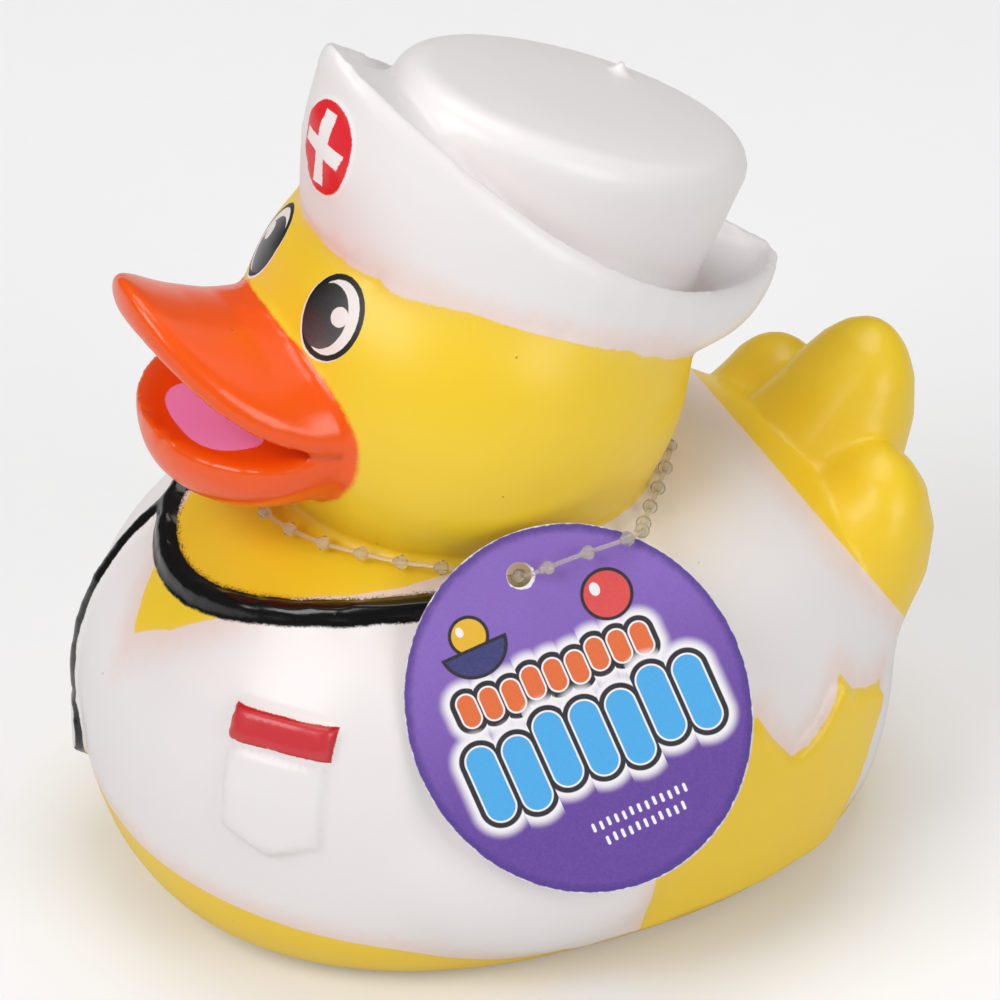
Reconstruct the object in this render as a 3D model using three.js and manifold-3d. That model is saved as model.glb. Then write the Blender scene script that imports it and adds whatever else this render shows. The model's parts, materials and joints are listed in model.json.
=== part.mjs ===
// Rubber duck dressed as a nurse: one hollow vinyl moulding, a beaded tie round its neck and a card tag.
// Millimetres, +Z up, the duck faces -Y, its left side is +X and its base is on z = 0.

import * as THREE from 'three';
import { mergeVertices } from 'three/addons/utils/BufferGeometryUtils.js';
import Module from 'manifold-3d';

const wasm = await Module();
wasm.setup();

// Vinyl shell
const wall = 2;
const vent_diameter = 3.2;
const base_thickness = 2.4;

// Body: half widths, and front and back reach from its middle, at base, widest level and top
const body_middle_y = -4;
const body_half_width = 45;
const body_front = 57.5;
const body_back = 58.2;
const base_half_width = 32;
const base_front = 39;
const base_back = 48;
const shoulder_half_width = 15;
const shoulder_front = 20;
const shoulder_back = 14;
const widest_height = 27;
const body_height = 61;
const body_squareness = 2.25;
const lower_fullness = 2.5;
const upper_fullness = 2.1;

// Head
const head_radius = 31;
const head_y = -7.5;
const head_height = 78;

// Upper bill: a wide spoon that turns up towards its tip
const bill_half_width = 19;
const bill_round_y = -38;
const bill_tip_length = 18.4;
const bill_corner_height = 79;
const mouth_corner_reach = 25;
const bill_edge_slope = 0.1;
const bill_edge_curl = 0.026;
const bill_crest_height = 89.6;
const bill_crest_tip = 100.2;
const upper_bill_thickness = 7;
const upper_lip_roll = 1.5;

const bill_root_length = 12;
const bill_tip_angles = [12, 24, 36, 48, 59, 69, 77, 84];

// Lower bill: a shallow scoop
const lower_bill_half_width = 18.5;
const lower_bill_tip_length = 15.5;
const lower_lip_height = 77.5;
const lower_bill_depth = 11.5;
const mouth_dip = 3;
const lip_roll = 1.6;

// Hat: a band that fits the head, an upturned brim and an oval crown, tilted back as one
const hat_tilt = 22.5;
const hat_y = 0.4;
const hat_height = 90.4;
const band_half_width = 26.5;
const band_half_length = 32;
const band_sink = 4;
const band_taper = 3.5;
const band_edge = 0.9;
const brim_half_width = 25.8;
const brim_half_length = 39.8;
const brim_pinch = 0.48;
const brim_middle_height = 13.3;
const brim_front_rise = 9.1;
const brim_peak = 2.7;
const brim_thickness = 2.6;
const brim_valley_depth = 5;
const brim_bulge = 0.7;
const valley_fillet = 1.8;
const crown_half_width = 19;
const crown_half_length = 25.3;
const crown_height = 24.1;
const crown_edge_radius = 4;
const crown_flare = 1.2;
const nub_diameter = 1.6;
const nub_height = 2.2;
const nub_across = -0.55;
const nub_forward = -0.45;

// Tail: three rounded feathers that grow together out of the back
const feather_root_y = 12;
const feather_root_height = 26;
const feather_bend_y = 46;
const feather_bend_height = 33;
const middle_tip_y = 56;
const middle_tip_height = 65.4;
const side_tip_x = 15.5;
const side_tip_y = 48.9;
const side_tip_height = 55.4;
const side_root_x = 9;
const feather_root_half = 22;
const feather_tip_half = 12;
const feather_root_thickness = 20;
const feather_tip_thickness = 9;
const feather_round_start = 0.6;
const feather_roundness = 2.6;
const side_root_drop = 4;
const side_bend_drop = 8;
const side_bend_reach = 1;
const side_bend_inward = 1;

// Wings: a rounded sleeve in front and a raised hand with three feather tips behind
const sleeve_x = 37;
const sleeve_y = -16.1;
const sleeve_height = 22;
const sleeve_half_thickness = 12;
const sleeve_half_length = 23.5;
const sleeve_half_height = 17;
const sleeve_turn = -16;
const wing_relief = 2;
const wing_bottom = 6;
const wing_front_y = -12;
const hand_top = [17, 36];
const hand_valley = [22.2, 28];
const middle_finger = [32.4, 35.2];
const finger_valley = [34.6, 31.4];
const back_finger = [41.8, 27.6];
const hand_back = [36.5, 16];
const hand_heel = [31, 8];
const finger_bow = 2.6;
const hand_shoulder_drop = 2;

// Details moulded in relief
const eye_x = 10.8;
const eye_height = 16.9;
const eye_half_width = 4.9;
const eye_half_height = 5.9;
const eye_relief = 0.35;
const tube_diameter = 3;
const tube_half_width = 29;
const tube_front = 40.5;
const tube_back = 25;
const tube_middle_y = -9.5;
const chest_piece_diameter = 9.5;
const chest_piece_thickness = 1.8;
const chest_piece_x = -19;
const hang_start_x = -15;
const hang_start_share = 0.85;
const chest_piece_height = 18;
const chest_piece_turn = -20;
const chest_piece_flare = 0.4;
const tube_lift = 0.45;
const badge_width = 14;
const badge_height = 4.4;
const badge_relief = 1;
const badge_x = 28;
const badge_centre_height = 44;
const pocket_width = 13.5;
const pocket_side = 11.5;
const pocket_point = 3;
const pocket_relief = 0.7;
const pocket_drop = 1.4;
const patch_turn = 35;
const patch_tilt = 14;
const emblem_half_width = 6.2;
const emblem_half_height = 6.6;
const cross_length = 10.6;
const cross_width = 3;
const emblem_relief = 0.4;
const emblem_lean = 14;
const emblem_x = 1.2;
const emblem_height_share = 0.44;

// Beaded tie and card tag
const tie_diameter = 0.9;
const tag_half_width = 22.8;
const tag_half_height = 25;
const tag_thickness = 0.9;
const tag_hole_diameter = 3.4;
const tag_hole_offset = 19.5;
const tag_centre = [43.3, -10, 46.9];
const tag_azimuth = -20;
const tag_tilt = 30;
const tag_roll = 22;
const tie_steps = 56;
const lock_diameter = 2.6;
const lock_length = 6;
const tie_route = [
  [-2.6, 20.6, 61.2],
  [-10.4, 18.6, 61.1],
  [-18.8, 13.2, 61.2],
  [-24.6, 6, 61.7],
  [-26.8, -2, 61.7],
  [-27.1, -10, 61.6],
  [-25.3, -18, 61.3],
  [-21.4, -25.4, 60.8],
  [-15.2, -31.4, 60.7],
  [-7, -35.8, 60.7],
  [1, -37.9, 60.8],
  [7.3, -36.8, 61],
  [12.8, -33.8, 61],
  [17.3, -30, 61],
  [21.4, -25.9, 61],
  [25, -21.6, 61.2],
  [28.4, -17.2, 61],
  [30.8, -14, 61.2],
  [33, -13.4, 62.7],
  [35.3, -12.6, 64.4],
  [36.4, -9, 65.9],
  [37, -4.6, 66.9],
  [37.2, -0.4, 67.5],
  [35.6, 2.6, 67],
  [31.4, 4.6, 64.2],
  [25.6, 8.4, 62.6],
  [19.2, 13, 61.6],
  [10.8, 18.5, 61.1],
  [2.6, 20.6, 61.2],
];

// Facets
const around_body = 42;
const around_hat = 42;
const around_disc = 16;
const head_detail = 1.3;
const hollow_detail = 0.6;
const sleeve_detail = 0.75;
const around_sphere = 28;
const sphere_levels = 18;
const around_strand = 8;
const around_lock = 10;
const around_vent = 16;
const around_nub = 8;
const tag_curve_steps = 16;

// Depths of the cutting prisms that stamp a relief, and curves that shape the bill towards its edge
const wing_cut_depth = 60;
const patch_cut_depth = 16;
const emblem_cut_depth = 6;
const bill_crest_curve = 1.6;
const bill_arch_curve = 0.8;
const bill_edge_curve = 0.28;
const lower_bill_depth_curve = 0.6;
const lower_bill_round = 0.85;
const upper_bill_round = 0.75;
const brim_edge_round = 1.7;
const nub_top_share = 0.35;

const crown_edge_steps = 4;
const hang_steps = 6;
const hang_tube_steps = 8;
const around_hollow = 18;
const around_bill = 20;
const around_feather = 18;
const around_hollow_feather = 8;
const around_tube = 6;
const loop_points = 24;
const loop_steps = 40;

const degree = Math.PI / 180;

const vinyl = new THREE.MeshStandardMaterial({ color: 0xf0d23a, roughness: 0.45, metalness: 0 });
const nylon = new THREE.MeshStandardMaterial({ color: 0xe9e4d6, roughness: 0.3, metalness: 0 });
const card = new THREE.MeshStandardMaterial({ color: 0x7d58b0, roughness: 0.35, metalness: 0 });

function solidOf(geometry) {
  const bare = geometry.clone();
  bare.deleteAttribute('normal');
  bare.deleteAttribute('uv');
  const merged = mergeVertices(bare, 1e-4);
  const vertProperties = new Float32Array(merged.attributes.position.array);
  const triVerts = new Uint32Array(merged.index.array);
  return new wasm.Manifold(new wasm.Mesh({ numProp: 3, vertProperties, triVerts }));
}

function geometryOf(solid) {
  const mesh = solid.getMesh();
  const geometry = new THREE.BufferGeometry();
  geometry.setAttribute('position', new THREE.BufferAttribute(new Float32Array(mesh.vertProperties), 3));
  geometry.setIndex(new THREE.BufferAttribute(new Uint32Array(mesh.triVerts), 1));
  geometry.computeVertexNormals();
  return geometry;
}

function joined(solids) {
  return solids.reduce((sum, solid) => sum.add(solid));
}

// A closed solid through rings of equal count. Each end closes on its ring's middle.
function loft(rings) {
  const count = rings[0].length;
  const points = rings.flat();
  const faces = [];
  for (let ring = 0; ring + 1 < rings.length; ring += 1) {
    for (let i = 0; i < count; i += 1) {
      const next = (i + 1) % count;
      const a = ring * count + i;
      const b = ring * count + next;
      const c = a + count;
      const d = b + count;
      faces.push(a, b, d, a, d, c);
    }
  }
  const first = middle(rings[0]);
  const last = middle(rings[rings.length - 1]);
  points.push(first, last);
  const firstIndex = points.length - 2;
  const lastIndex = points.length - 1;
  const lastRing = (rings.length - 1) * count;
  for (let i = 0; i < count; i += 1) {
    const next = (i + 1) % count;
    faces.push(firstIndex, next, i);
    faces.push(lastIndex, lastRing + i, lastRing + next);
  }
  const geometry = new THREE.BufferGeometry();
  const position = new Float32Array(points.flatMap((p) => [p.x, p.y, p.z]));
  geometry.setAttribute('position', new THREE.BufferAttribute(position, 3));
  geometry.setIndex(faces);
  const solid = solidOf(geometry);
  if (solid.volume() > 0) {
    return solid;
  }
  const flipped = geometry.clone();
  flipped.setIndex(faces.reverse());
  return solidOf(flipped);
}

function middle(ring) {
  const sum = new THREE.Vector3();
  ring.forEach((p) => sum.add(p));
  return sum.divideScalar(ring.length);
}

function ellipsoid(half, centre, turn = [0, 0, 0], detail = 1) {
  const around = Math.round(around_sphere * detail);
  const levels = Math.round(sphere_levels * detail);
  const geometry = new THREE.SphereGeometry(1, around, levels);
  geometry.rotateX(Math.PI / 2);
  geometry.scale(half[0], half[1], half[2]);
  geometry.rotateX(turn[0] * degree);
  geometry.rotateY(turn[1] * degree);
  geometry.rotateZ(turn[2] * degree);
  geometry.translate(centre[0], centre[1], centre[2]);
  return solidOf(geometry);
}

function power(value, exponent) {
  return Math.sign(value) * Math.abs(value) ** exponent;
}

function mix(a, b, t) {
  return a + (b - a) * t;
}

// Body sections: from the base out to the widest level, then in to the shoulders
function bodySpan(z, base, widest, top) {
  if (z < widest_height) {
    const t = 1 - z / widest_height;
    return mix(base, widest, (1 - t ** lower_fullness) ** (1 / lower_fullness));
  }
  const t = (z - widest_height) / (body_height - widest_height);
  return mix(top, widest, (1 - t ** upper_fullness) ** (1 / upper_fullness));
}

function bodySection(z) {
  return {
    half: bodySpan(z, base_half_width, body_half_width, shoulder_half_width),
    front: bodySpan(z, base_front, body_front, shoulder_front),
    back: bodySpan(z, base_back, body_back, shoulder_back),
  };
}

function bodyRing(z, level, inset) {
  const section = bodySection(z);
  const count = inset > 0 ? around_hollow : around_body;
  const ring = [];
  for (let i = 0; i < count; i += 1) {
    const angle = (i / count) * 2 * Math.PI;
    const side = power(Math.sin(angle), 2 / body_squareness);
    const along = power(Math.cos(angle), 2 / body_squareness);
    const reach = along > 0 ? section.front : section.back;
    const x = side * (section.half - inset);
    const y = body_middle_y - along * (reach - inset);
    ring.push(new THREE.Vector3(x, y, level));
  }
  return ring;
}

function bodySolid(inset) {
  const lower = [0, 0.02, 0.07, 0.17, 0.33, 0.62].map((t) => t * widest_height);
  const upper = [0, 0.24, 0.42, 0.56, 0.68, 0.78, 0.86, 0.93, 0.975, 1];
  const upperLevels = upper.map((t) => mix(widest_height, body_height, t));
  const floor = inset > 0 ? base_thickness : 0;
  const top = body_height - inset;
  const rings = [...lower, ...upperLevels].map((z) => bodyRing(z, mix(floor, top, z / body_height), inset));
  return loft(rings);
}

// Height of the body's upper surface over a point of its plan
function bodyTop(x, y) {
  let low = widest_height;
  let high = body_height;
  for (let step = 0; step < 30; step += 1) {
    const z = (low + high) / 2;
    const section = bodySection(z);
    const reach = y < body_middle_y ? section.front : section.back;
    const across = Math.abs(x / section.half) ** body_squareness;
    const along = Math.abs((y - body_middle_y) / reach) ** body_squareness;
    if (across + along < 1) {
      low = z;
    } else {
      high = z;
    }
  }
  return low;
}

// The breast's y at a given x and height
function bodyBreast(x, z) {
  const section = bodySection(z);
  const across = Math.abs(x / section.half) ** body_squareness;
  return body_middle_y - section.front * (1 - across) ** (1 / body_squareness);
}

function headSolid(inset) {
  const radius = head_radius - inset;
  const detail = inset > 0 ? hollow_detail : head_detail;
  return ellipsoid([radius, radius, radius], [0, head_y, head_height], [0, 0, 0], detail);
}

// Stations of a bill half: straight sides from inside the head, then round to the tip
function billStations(tip_length) {
  const roots = [bill_root_length, bill_root_length / 2, 0];
  const straight = roots.map((back) => ({ y: bill_round_y + back, spread: 1 }));
  const round = bill_tip_angles.map((angle) => ({
    y: bill_round_y - tip_length * Math.sin(angle * degree),
    spread: Math.cos(angle * degree),
  }));
  return [...straight, ...round];
}

function upperBillSolid() {
  const tip_y = bill_round_y - bill_tip_length;
  const corner_y = head_y - mouth_corner_reach;
  const rings = billStations(bill_tip_length).map(({ y, spread }) => {
    const half = bill_half_width * spread;
    const ahead = corner_y - y;
    const edge = bill_corner_height + bill_edge_slope * ahead + bill_edge_curl * ahead * Math.abs(ahead);
    const toTip = THREE.MathUtils.clamp((corner_y - y) / (corner_y - tip_y), 0, 1);
    const crest = mix(bill_crest_height, bill_crest_tip, toTip ** bill_crest_curve);
    const arch = Math.max(crest - upper_bill_thickness / 2 - edge, 0) * spread ** bill_arch_curve;
    const thickness = upper_bill_thickness * spread ** bill_edge_curve;
    const ring = [];
    for (let i = 0; i < around_bill; i += 1) {
      const angle = (i / around_bill) * 2 * Math.PI;
      const across = power(Math.cos(angle), 0.8);
      const roll = Math.sin(angle) > 0 ? upper_lip_roll : 1;
      const round = (thickness / 2) * roll * power(Math.sin(angle), upper_bill_round);
      const rise = arch * (1 - across * across) + round;
      ring.push(new THREE.Vector3(half * across, y, edge + rise));
    }
    return ring;
  });
  return loft(rings);
}

function lowerBillSolid() {
  const rings = billStations(lower_bill_tip_length).map(({ y, spread }) => {
    const half = lower_bill_half_width * spread;
    const depth = lower_bill_depth * spread ** lower_bill_depth_curve;
    const ring = [];
    for (let i = 0; i < around_bill; i += 1) {
      const angle = (i / around_bill) * 2 * Math.PI;
      const across = power(Math.cos(angle), 0.8);
      const up = Math.sin(angle);
      const bowl = -mouth_dip * spread * (1 - across * across) + lip_roll * Math.abs(up) ** 0.7;
      const rise = up > 0 ? bowl : -depth * Math.abs(up) ** lower_bill_round;
      ring.push(new THREE.Vector3(half * across, y, lower_lip_height + rise));
    }
    return ring;
  });
  return loft(rings);
}

// A point of the hat from its own across, forward and up distances
function hatPoint(across, forward, up) {
  const tilt = hat_tilt * degree;
  const y = hat_y - forward * Math.cos(tilt) + up * Math.sin(tilt);
  const z = hat_height + forward * Math.sin(tilt) + up * Math.cos(tilt);
  return new THREE.Vector3(across, y, z);
}

function hatRing(half_width, half_length, up, pinch = 0, count = around_hat) {
  const ring = [];
  for (let i = 0; i < count; i += 1) {
    const angle = (i / count) * 2 * Math.PI;
    const narrow = 1 - pinch * Math.cos(angle) ** 2;
    const height = typeof up === 'function' ? up(angle) : up;
    ring.push(hatPoint(half_width * Math.sin(angle) * narrow, half_length * Math.cos(angle), height));
  }
  return ring;
}

function brimHeight(angle) {
  return brim_middle_height + brim_front_rise * Math.cos(angle) + brim_peak * Math.cos(2 * angle);
}

function brimRing(share, inward, drop) {
  const half_width = mix(band_half_width, brim_half_width, share) - inward;
  const half_length = mix(band_half_length, brim_half_length, share) - inward;
  const up = (angle) => brimHeight(angle) * share - drop;
  return hatRing(half_width, half_length, up, brim_pinch * share ** 2);
}

function hatSolid() {
  const edge = brim_thickness / 2;
  const valley = (angle) => brimHeight(angle) - brim_valley_depth;
  const rings = [
    hatRing(band_half_width - band_taper, band_half_length - band_taper, -band_sink),
    hatRing(band_half_width - band_edge, band_half_length - band_edge, -band_edge),
    brimRing(0, 0, 0),
    brimRing(0.25, -brim_bulge * 0.7, 0),
    brimRing(0.5, -brim_bulge, 0),
    brimRing(0.75, -brim_bulge * 0.7, 0),
    brimRing(0.93, 0, 0),
    brimRing(1, edge * 0.3, 0),
    brimRing(1, edge, -edge * 0.35),
    brimRing(1, edge * brim_edge_round, 0),
    brimRing(1, brim_thickness, edge),
    hatRing(
      crown_half_width + valley_fillet,
      crown_half_length + valley_fillet,
      (angle) => valley(angle) + 1,
    ),
    hatRing(crown_half_width, crown_half_length, valley),
    ...crownRings(0),
  ];
  return loft(rings);
}

function crownRings(inset, count = around_hat) {
  const rings = [];
  for (let step = 0; step <= crown_edge_steps; step += 1) {
    const angle = (step / crown_edge_steps) * (Math.PI / 2);
    const inward = crown_edge_radius * (1 - Math.cos(angle)) - crown_flare + inset;
    const up = crown_height - crown_edge_radius * (1 - Math.sin(angle)) - inset;
    rings.push(hatRing(crown_half_width - inward, crown_half_length - inward, up, 0, count));
  }
  rings.push(hatRing(crown_half_width * 0.5, crown_half_length * 0.5, crown_height + 0.5 - inset, 0, count));
  return rings;
}

// Inside of the crown, which the head's hollow opens into
function crownHollow() {
  const foot = hatRing(crown_half_width - wall * 2, crown_half_length - wall * 2, 0, 0, around_hollow);
  return loft([foot, ...crownRings(wall, around_hollow)]);
}

function nubSolid() {
  const at = hatPoint(crown_half_width * nub_across, crown_half_length * nub_forward, crown_height);
  const top = nub_diameter * nub_top_share;
  const geometry = new THREE.CylinderGeometry(top, nub_diameter / 2, nub_height * 2, around_nub);
  geometry.rotateX(Math.PI / 2 - hat_tilt * degree);
  geometry.translate(at.x, at.y, at.z);
  return solidOf(geometry);
}

function featherSolid(root, bend, tip, inset) {
  const spine = new THREE.QuadraticBezierCurve3(root, bend, tip);
  const length = spine.getLength() - inset;
  const rings = [0, 0.25, 0.45, 0.6, 0.73, 0.83, 0.91, 0.96, 0.99, 0.999].map((share) => {
    const at = share * (length / spine.getLength());
    const t = spine.getUtoTmapping(at);
    const lean = spine.getTangent(t);
    const across = new THREE.Vector3(1, 0, 0);
    const thick = new THREE.Vector3().crossVectors(lean, across).normalize();
    const toEnd = Math.max(share - feather_round_start, 0) / (1 - feather_round_start);
    const round = Math.sqrt(Math.max(1 - toEnd ** feather_roundness, 0));
    const half = (mix(feather_root_half, feather_tip_half, Math.min(share * 1.5, 1)) - inset) * round;
    const deep = (mix(feather_root_thickness, feather_tip_thickness, share ** 0.8) - inset) * round;
    const centre = spine.getPoint(t);
    const ring = [];
    const count = inset > 0 ? around_hollow_feather : around_feather;
    for (let i = 0; i < count; i += 1) {
      const angle = (i / count) * 2 * Math.PI;
      const point = centre.clone();
      point.addScaledVector(across, half * Math.cos(angle));
      point.addScaledVector(thick, deep * Math.sin(angle));
      ring.push(point);
    }
    return ring;
  });
  return loft(rings);
}

function tailSolid(inset) {
  const middleRoot = new THREE.Vector3(0, feather_root_y, feather_root_height);
  const middleBend = new THREE.Vector3(0, feather_bend_y, feather_bend_height);
  const middleTip = new THREE.Vector3(0, middle_tip_y, middle_tip_height);
  const middleFeather = featherSolid(middleRoot, middleBend, middleTip, inset);
  const sides = [-1, 1].map((side) => {
    const root = new THREE.Vector3(side * side_root_x, feather_root_y, feather_root_height - side_root_drop);
    const bend_y = feather_bend_y + side_bend_reach;
    const bend_height = feather_bend_height - side_bend_drop;
    const bend = new THREE.Vector3(side * (side_tip_x - side_bend_inward), bend_y, bend_height);
    const tip = new THREE.Vector3(side * side_tip_x, side_tip_y, side_tip_height);
    return featherSolid(root, bend, tip, inset);
  });
  return joined([middleFeather, ...sides]);
}

// A point below the middle of the line between two places, for the control of a bowed edge
function middleOf(a, b, bow) {
  return [(a[0] + b[0]) / 2, (a[1] + b[1]) / 2 - bow];
}

// Side outline of the wing's hand, in y and z, with its three feather tips behind
function wingOutline() {
  const shape = new THREE.Shape();
  shape.moveTo(wing_front_y, wing_bottom);
  shape.lineTo(...hand_heel);
  shape.quadraticCurveTo(...hand_back, ...back_finger);
  shape.lineTo(...finger_valley);
  shape.lineTo(...middle_finger);
  shape.quadraticCurveTo(...middleOf(middle_finger, hand_valley, finger_bow), ...hand_valley);
  shape.lineTo(...hand_top);
  shape.lineTo(wing_front_y, hand_top[1] - hand_shoulder_drop);
  shape.closePath();
  return shape;
}

function wingSolid(side) {
  const options = { depth: wing_cut_depth, bevelEnabled: false, curveSegments: 6 };
  const geometry = new THREE.ExtrudeGeometry(wingOutline(), options);
  geometry.rotateX(Math.PI / 2);
  geometry.rotateZ(Math.PI / 2);
  const prism = solidOf(geometry);
  const hand = prism.intersect(bodySolid(-wing_relief));
  const half = [sleeve_half_thickness, sleeve_half_length, sleeve_half_height];
  const sleeve = ellipsoid(half, [sleeve_x, sleeve_y, sleeve_height], [0, 0, sleeve_turn], sleeve_detail);
  const wing = hand.add(sleeve);
  return side > 0 ? wing : wing.mirror([1, 0, 0]);
}

// A flat outline stood on a surface: facing along -Y, then tilted back and turned to its place
function prismAt(shape, centre, tilt, turn, depth = patch_cut_depth) {
  const geometry = new THREE.ExtrudeGeometry(shape, { depth, bevelEnabled: false, curveSegments: 8 });
  geometry.translate(0, 0, -depth / 2);
  geometry.rotateX(Math.PI / 2 - tilt * degree);
  geometry.rotateZ(turn * degree);
  geometry.translate(centre[0], centre[1], centre[2]);
  return solidOf(geometry);
}

function ovalShape(half_width, half_height) {
  const shape = new THREE.Shape();
  shape.absellipse(0, 0, half_width, half_height, 0, 2 * Math.PI, false, 0);
  return shape;
}

function boxShape(width, height) {
  const shape = new THREE.Shape();
  shape.moveTo(-width / 2, -height / 2);
  shape.lineTo(width / 2, -height / 2);
  shape.lineTo(width / 2, height / 2);
  shape.lineTo(-width / 2, height / 2);
  shape.closePath();
  return shape;
}

function pocketShape() {
  const shape = new THREE.Shape();
  shape.moveTo(-pocket_width / 2, 0);
  shape.lineTo(-pocket_width / 2, -pocket_side);
  shape.lineTo(0, -pocket_side - pocket_point);
  shape.lineTo(pocket_width / 2, -pocket_side);
  shape.lineTo(pocket_width / 2, 0);
  shape.closePath();
  return shape;
}

function eyeSolid(side) {
  const depth_y = Math.sqrt(head_radius ** 2 - eye_x ** 2 - eye_height ** 2);
  const centre = [side * eye_x, head_y - depth_y, head_height + eye_height];
  const turn = side * Math.atan2(eye_x, depth_y) / degree;
  const tilt = Math.atan2(eye_height, Math.hypot(eye_x, depth_y)) / degree;
  const prism = prismAt(ovalShape(eye_half_width, eye_half_height), centre, tilt, turn);
  return prism.intersect(headSolid(-eye_relief));
}

function tubeAlong(points, diameter, steps, sides, closed) {
  const curve = new THREE.CatmullRomCurve3(points, closed);
  const shape = new THREE.Shape();
  for (let i = 0; i < sides; i += 1) {
    const angle = (i / sides) * 2 * Math.PI;
    const x = (diameter / 2) * Math.cos(angle);
    const y = (diameter / 2) * Math.sin(angle);
    if (i === 0) {
      shape.moveTo(x, y);
    } else {
      shape.lineTo(x, y);
    }
  }
  shape.closePath();
  return new THREE.ExtrudeGeometry(shape, { steps, extrudePath: curve, bevelEnabled: false });
}

function stethoscopeSolid() {
  const loop = [];
  for (let i = 0; i < loop_points; i += 1) {
    const angle = (i / loop_points) * 2 * Math.PI;
    const x = tube_half_width * Math.sin(angle);
    const reach = Math.cos(angle) > 0 ? tube_front : tube_back;
    const y = tube_middle_y - reach * Math.cos(angle);
    loop.push(new THREE.Vector3(x, y, bodyTop(x, y) + tube_lift));
  }
  const neck = solidOf(tubeAlong(loop, tube_diameter, loop_steps, around_tube, true));
  const hang = [];
  const startHeight = bodyTop(hang_start_x, tube_middle_y - tube_front * hang_start_share);
  for (let step = 0; step <= hang_steps; step += 1) {
    const t = step / hang_steps;
    const z = mix(startHeight, chest_piece_height, t);
    const x = mix(hang_start_x, chest_piece_x, t);
    hang.push(new THREE.Vector3(x, bodyBreast(x, z), z));
  }
  const tube = solidOf(tubeAlong(hang, tube_diameter, hang_tube_steps, around_tube, false));
  const rim = chest_piece_diameter / 2;
  const depth = chest_piece_thickness * 2;
  const disc = new THREE.CylinderGeometry(rim, rim + chest_piece_flare, depth, around_disc);
  disc.rotateX(Math.PI);
  disc.rotateZ(chest_piece_turn * degree);
  disc.translate(chest_piece_x, bodyBreast(chest_piece_x, chest_piece_height), chest_piece_height);
  return joined([neck, tube, solidOf(disc)]);
}

function badgeAndPocket() {
  const y = bodyBreast(badge_x, badge_centre_height);
  const outline = boxShape(badge_width, badge_height);
  const badge = prismAt(outline, [badge_x, y, badge_centre_height], patch_tilt, patch_turn);
  const pocketTop = badge_centre_height - badge_height / 2 - pocket_drop;
  const pocket = prismAt(pocketShape(), [badge_x, y, pocketTop], patch_tilt, patch_turn);
  const raisedBadge = badge.intersect(bodySolid(-badge_relief));
  const raisedPocket = pocket.intersect(bodySolid(-pocket_relief));
  return raisedBadge.add(raisedPocket);
}

// Raised oval with an upright cross on the brim's front
function emblemSolid() {
  const reach = mix(band_half_length, brim_half_length, emblem_height_share) + brim_bulge;
  const front = hatPoint(emblem_x, reach, brimHeight(0) * emblem_height_share);
  const outline = ovalShape(emblem_half_width, emblem_half_height);
  const oval = prismAt(outline, front.toArray(), emblem_lean, 0, emblem_cut_depth);
  const bar = prismAt(boxShape(cross_width, cross_length), front.toArray(), emblem_lean, 0, emblem_cut_depth);
  const arm = prismAt(boxShape(cross_length, cross_width), front.toArray(), emblem_lean, 0, emblem_cut_depth);
  const raised = hatSolid().translate([0, -emblem_relief, 0]);
  const cross = hatSolid().translate([0, -2 * emblem_relief, 0]).intersect(bar.add(arm));
  return raised.intersect(oval).add(cross);
}

function tieSolid() {
  const points = tie_route.map((p) => new THREE.Vector3(...p));
  const strand = solidOf(tubeAlong(points, tie_diameter, tie_steps, around_strand, false));
  const lock = new THREE.CylinderGeometry(lock_diameter / 2, lock_diameter / 2, lock_length, around_lock);
  lock.rotateZ(Math.PI / 2);
  lock.translate(0, tie_route[0][1], tie_route[0][2] + lock_diameter / 4);
  return strand.add(solidOf(lock));
}

function tagSolid() {
  const shape = ovalShape(tag_half_width, tag_half_height);
  const hole = new THREE.Path();
  hole.absellipse(0, tag_hole_offset, tag_hole_diameter / 2, tag_hole_diameter / 2, 0, 2 * Math.PI, true, 0);
  shape.holes.push(hole);
  const options = { depth: tag_thickness, bevelEnabled: false, curveSegments: tag_curve_steps };
  const geometry = new THREE.ExtrudeGeometry(shape, options);
  geometry.rotateZ(tag_roll * degree);
  geometry.rotateX((90 - tag_tilt) * degree);
  geometry.rotateZ((90 + tag_azimuth) * degree);
  return solidOf(geometry);
}

function duckShell() {
  const outside = joined([
    bodySolid(0),
    headSolid(0),
    upperBillSolid(),
    lowerBillSolid(),
    hatSolid(),
    nubSolid(),
    tailSolid(0),
    wingSolid(1),
    wingSolid(-1),
    eyeSolid(1),
    eyeSolid(-1),
    stethoscopeSolid(),
    badgeAndPocket(),
    emblemSolid(),
  ]);
  const hollow = joined([bodySolid(wall), headSolid(wall), crownHollow(), tailSolid(wall)]);
  const radius = vent_diameter / 2;
  const vent = new THREE.CylinderGeometry(radius, radius, base_thickness * 4, around_vent);
  vent.rotateX(Math.PI / 2);
  vent.translate(0, body_middle_y, 0);
  return outside.subtract(hollow).subtract(solidOf(vent));
}

const duck = new THREE.Group();

const shell = new THREE.Mesh(geometryOf(duckShell()), vinyl);
shell.name = 'duck_shell';
duck.add(shell);

const tie = new THREE.Mesh(geometryOf(tieSolid()), nylon);
tie.name = 'tag_tie';
duck.add(tie);

const tag = new THREE.Mesh(geometryOf(tagSolid()), card);
tag.name = 'hang_tag';
tag.position.set(...tag_centre);
duck.add(tag);

// The origin lies under the middle of the moulding's length
const bounds = new THREE.Box3().setFromObject(shell);
duck.position.y = -(bounds.min.y + bounds.max.y) / 2;

export default duck;
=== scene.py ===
import json
import math

import bpy
import numpy as np
from bpy.props import FloatProperty, FloatVectorProperty, IntProperty, PointerProperty
from mathutils import Matrix, Vector

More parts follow.
